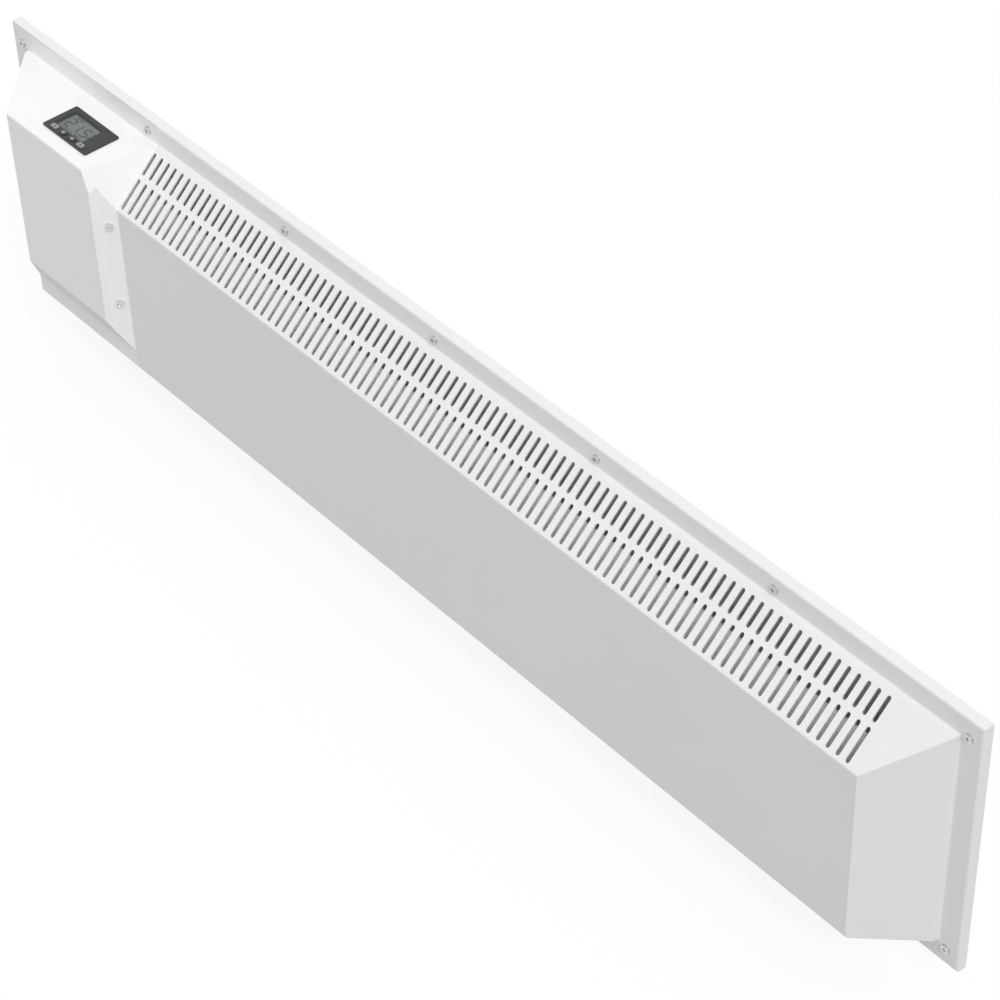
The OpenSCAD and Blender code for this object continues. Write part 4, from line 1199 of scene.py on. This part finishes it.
    def safety(self) -> None:
        """Makes the two leads from the board to the sleeved blades of the overheat cut-out."""
        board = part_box("power_board")[0]
        low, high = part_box("overheat_cutout")
        level, depth = (low.z + high.z) / 2, (low.y + high.y) / 2
        for name, side, rise, inset in (
            ("cutout_lead_a", 1.0, 35 * MM, 0.0),
            ("cutout_lead_b", -1.0, 29 * MM, 6 * MM),
        ):
            blade = Vector((low.x + 1.5 * MM, depth, level + side * self.blade_pitch / 2))
            sleeve = self.bench.block(f"{name}_sleeve", tuple(blade), self.sleeve, 0.8 * MM)
            self.hang(sleeve, "mark_pale", "block_plastic")
            solder = board + Vector((self.solder_x, 0.9 * MM, rise))
            out = Vector((solder.x, low.y + 4 * MM, solder.z))
            turn = blade + Vector((-2.5 * MM, -14 * MM, 0.0))
            drop = turn.x - inset
            lead = self.bench.lead(name, [
                solder, out, out + Vector((8 * MM, -3 * MM, 0.0)),
                Vector((drop - 12 * MM, turn.y, solder.z - 2 * MM)),
                Vector((drop, turn.y, solder.z - 8 * MM)), Vector((drop, turn.y, turn.z + 8 * MM)),
                Vector((drop, turn.y, turn.z)), turn, turn - 11 * MM * OUT,
            ], self.power)
            self.hang(lead, "lead_brown", "lead_brown")

    def build(self) -> None:
        """Makes all the leads."""
        self.supply()
        self.earth()
        self.sensor()
        self.safety()


@dataclass(frozen=True)
class Studio:
    """The camera, the floor, the sky and one soft lamp."""

    place: Point = (1.53385969, -1.21696401, 1.75228146)
    turn: tuple[float, float, float, float] = (0.83611469, 0.35892482, 0.17658136, 0.37537202)
    pixels_per_unit: float = 3130.0375
    hang: float = 45 * MM
    floor_size: float = 16.0
    floor_bounce: float = 0.27
    floor_catch: float = 0.15
    floor_glow: float = 0.84
    sky: float = 0.74
    lamp: float = 1.54
    lamp_from: Point = (0.611, -0.310, 0.726)
    lamp_angle: float = 24.0

    def camera(self) -> None:
        """Sets the camera where the photograph was taken."""
        data = bpy.data.cameras.new("camera")
        data.sensor_width = SENSOR
        data.lens = self.pixels_per_unit * SENSOR / PIXELS
        camera = bpy.data.objects.new("camera", data)
        bpy.context.scene.collection.objects.link(camera)
        camera.matrix_world = Matrix.Translation(self.place) @ Quaternion(self.turn).to_matrix().to_4x4()
        bpy.context.scene.camera = camera

    def rays(self, graph: Graph) -> Socket:
        """Tells rays that see the studio itself: from the camera, a gloss or a glass.

        Args:
            graph: the graph of a material or of the sky.

        Returns:
            An output that is 1 for such rays and 0 for others.
        """
        path = graph.node("LightPath")
        seen = graph.maths("MAXIMUM", path.outputs["Is Camera Ray"], path.outputs["Is Glossy Ray"])
        return graph.maths("MAXIMUM", seen, path.outputs["Is Transmission Ray"])

    def floor(self) -> None:
        """Lays a white floor below the heater, which hangs a little above it."""
        bpy.ops.object.select_all(action="DESELECT")
        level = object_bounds()[0].z - self.hang
        bpy.ops.mesh.primitive_plane_add(size=self.floor_size, location=(0.0, 0.0, level))
        floor = bpy.context.active_object
        floor.name = "floor"
        material = bpy.data.materials.new("floor_white")
        material.use_nodes = True
        tree = material.node_tree
        tree.nodes.clear()
        graph = Graph(tree)
        bounce = graph.node("BsdfDiffuse", Color=(self.floor_bounce,) * 3 + (1.0,))
        catch = graph.node("BsdfDiffuse", Color=(self.floor_catch,) * 3 + (1.0,))
        glow = graph.node("Emission", Color=(1.0, 1.0, 1.0, 1.0), Strength=self.floor_glow)
        both = graph.node("AddShader")
        graph.feed(both.inputs[0], catch.outputs[0])
        graph.feed(both.inputs[1], glow.outputs[0])
        pick = graph.node("MixShader")
        graph.feed(pick.inputs[0], self.rays(graph))
        graph.feed(pick.inputs[1], bounce.outputs[0])
        graph.feed(pick.inputs[2], both.outputs[0])
        end = graph.node("OutputMaterial")
        graph.feed(end.inputs["Surface"], pick.outputs[0])
        floor.data.materials.append(material)
        floor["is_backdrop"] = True

    def world(self) -> None:
        """Sets a sky that is white to look at and plain to light with."""
        world = bpy.data.worlds.new("sky")
        bpy.context.scene.world = world
        world.use_nodes = True
        graph = Graph(world.node_tree)
        mix = graph.node("Mix", {"data_type": "RGBA"})
        graph.feed(mix.inputs["Factor"], self.rays(graph))
        graph.feed(mix.inputs[MIX_A], (self.sky,) * 3 + (1.0,))
        graph.feed(mix.inputs[MIX_B], (1.0, 1.0, 1.0, 1.0))
        back = world.node_tree.nodes["Background"]
        graph.feed(back.inputs["Color"], mix.outputs[2])
        back.inputs["Strength"].default_value = 1.0

    def lamps(self) -> None:
        """Hangs the soft lamp above the right end."""
        data = bpy.data.lights.new("lamp", "SUN")
        data.energy = self.lamp
        data.angle = math.radians(self.lamp_angle)
        lamp = bpy.data.objects.new("lamp", data)
        lamp.rotation_mode = "QUATERNION"
        lamp.rotation_quaternion = Vector(self.lamp_from).to_track_quat("Z", "Y")
        bpy.context.scene.collection.objects.link(lamp)

    def build(self) -> None:
        """Sets up the whole studio."""
        bpy.context.scene.view_settings.view_transform = "Standard"
        self.camera()
        self.floor()
        self.world()
        self.lamps()


def main() -> None:
    """Dresses the frame, makes the new pieces and sets the studio."""
    logging.basicConfig(level=logging.INFO, format="%(name)s: %(message)s")
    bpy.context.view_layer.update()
    paints = Paintbox()
    bench = Bench()
    paints.dress_frame()
    Display(bench, paints).build()
    KeyMarks(bench, paints).build()
    PowerBoard(bench, paints).build()
    Wiring(bench, paints).build()
    Studio().build()


if __name__ == "__main__":
    main()
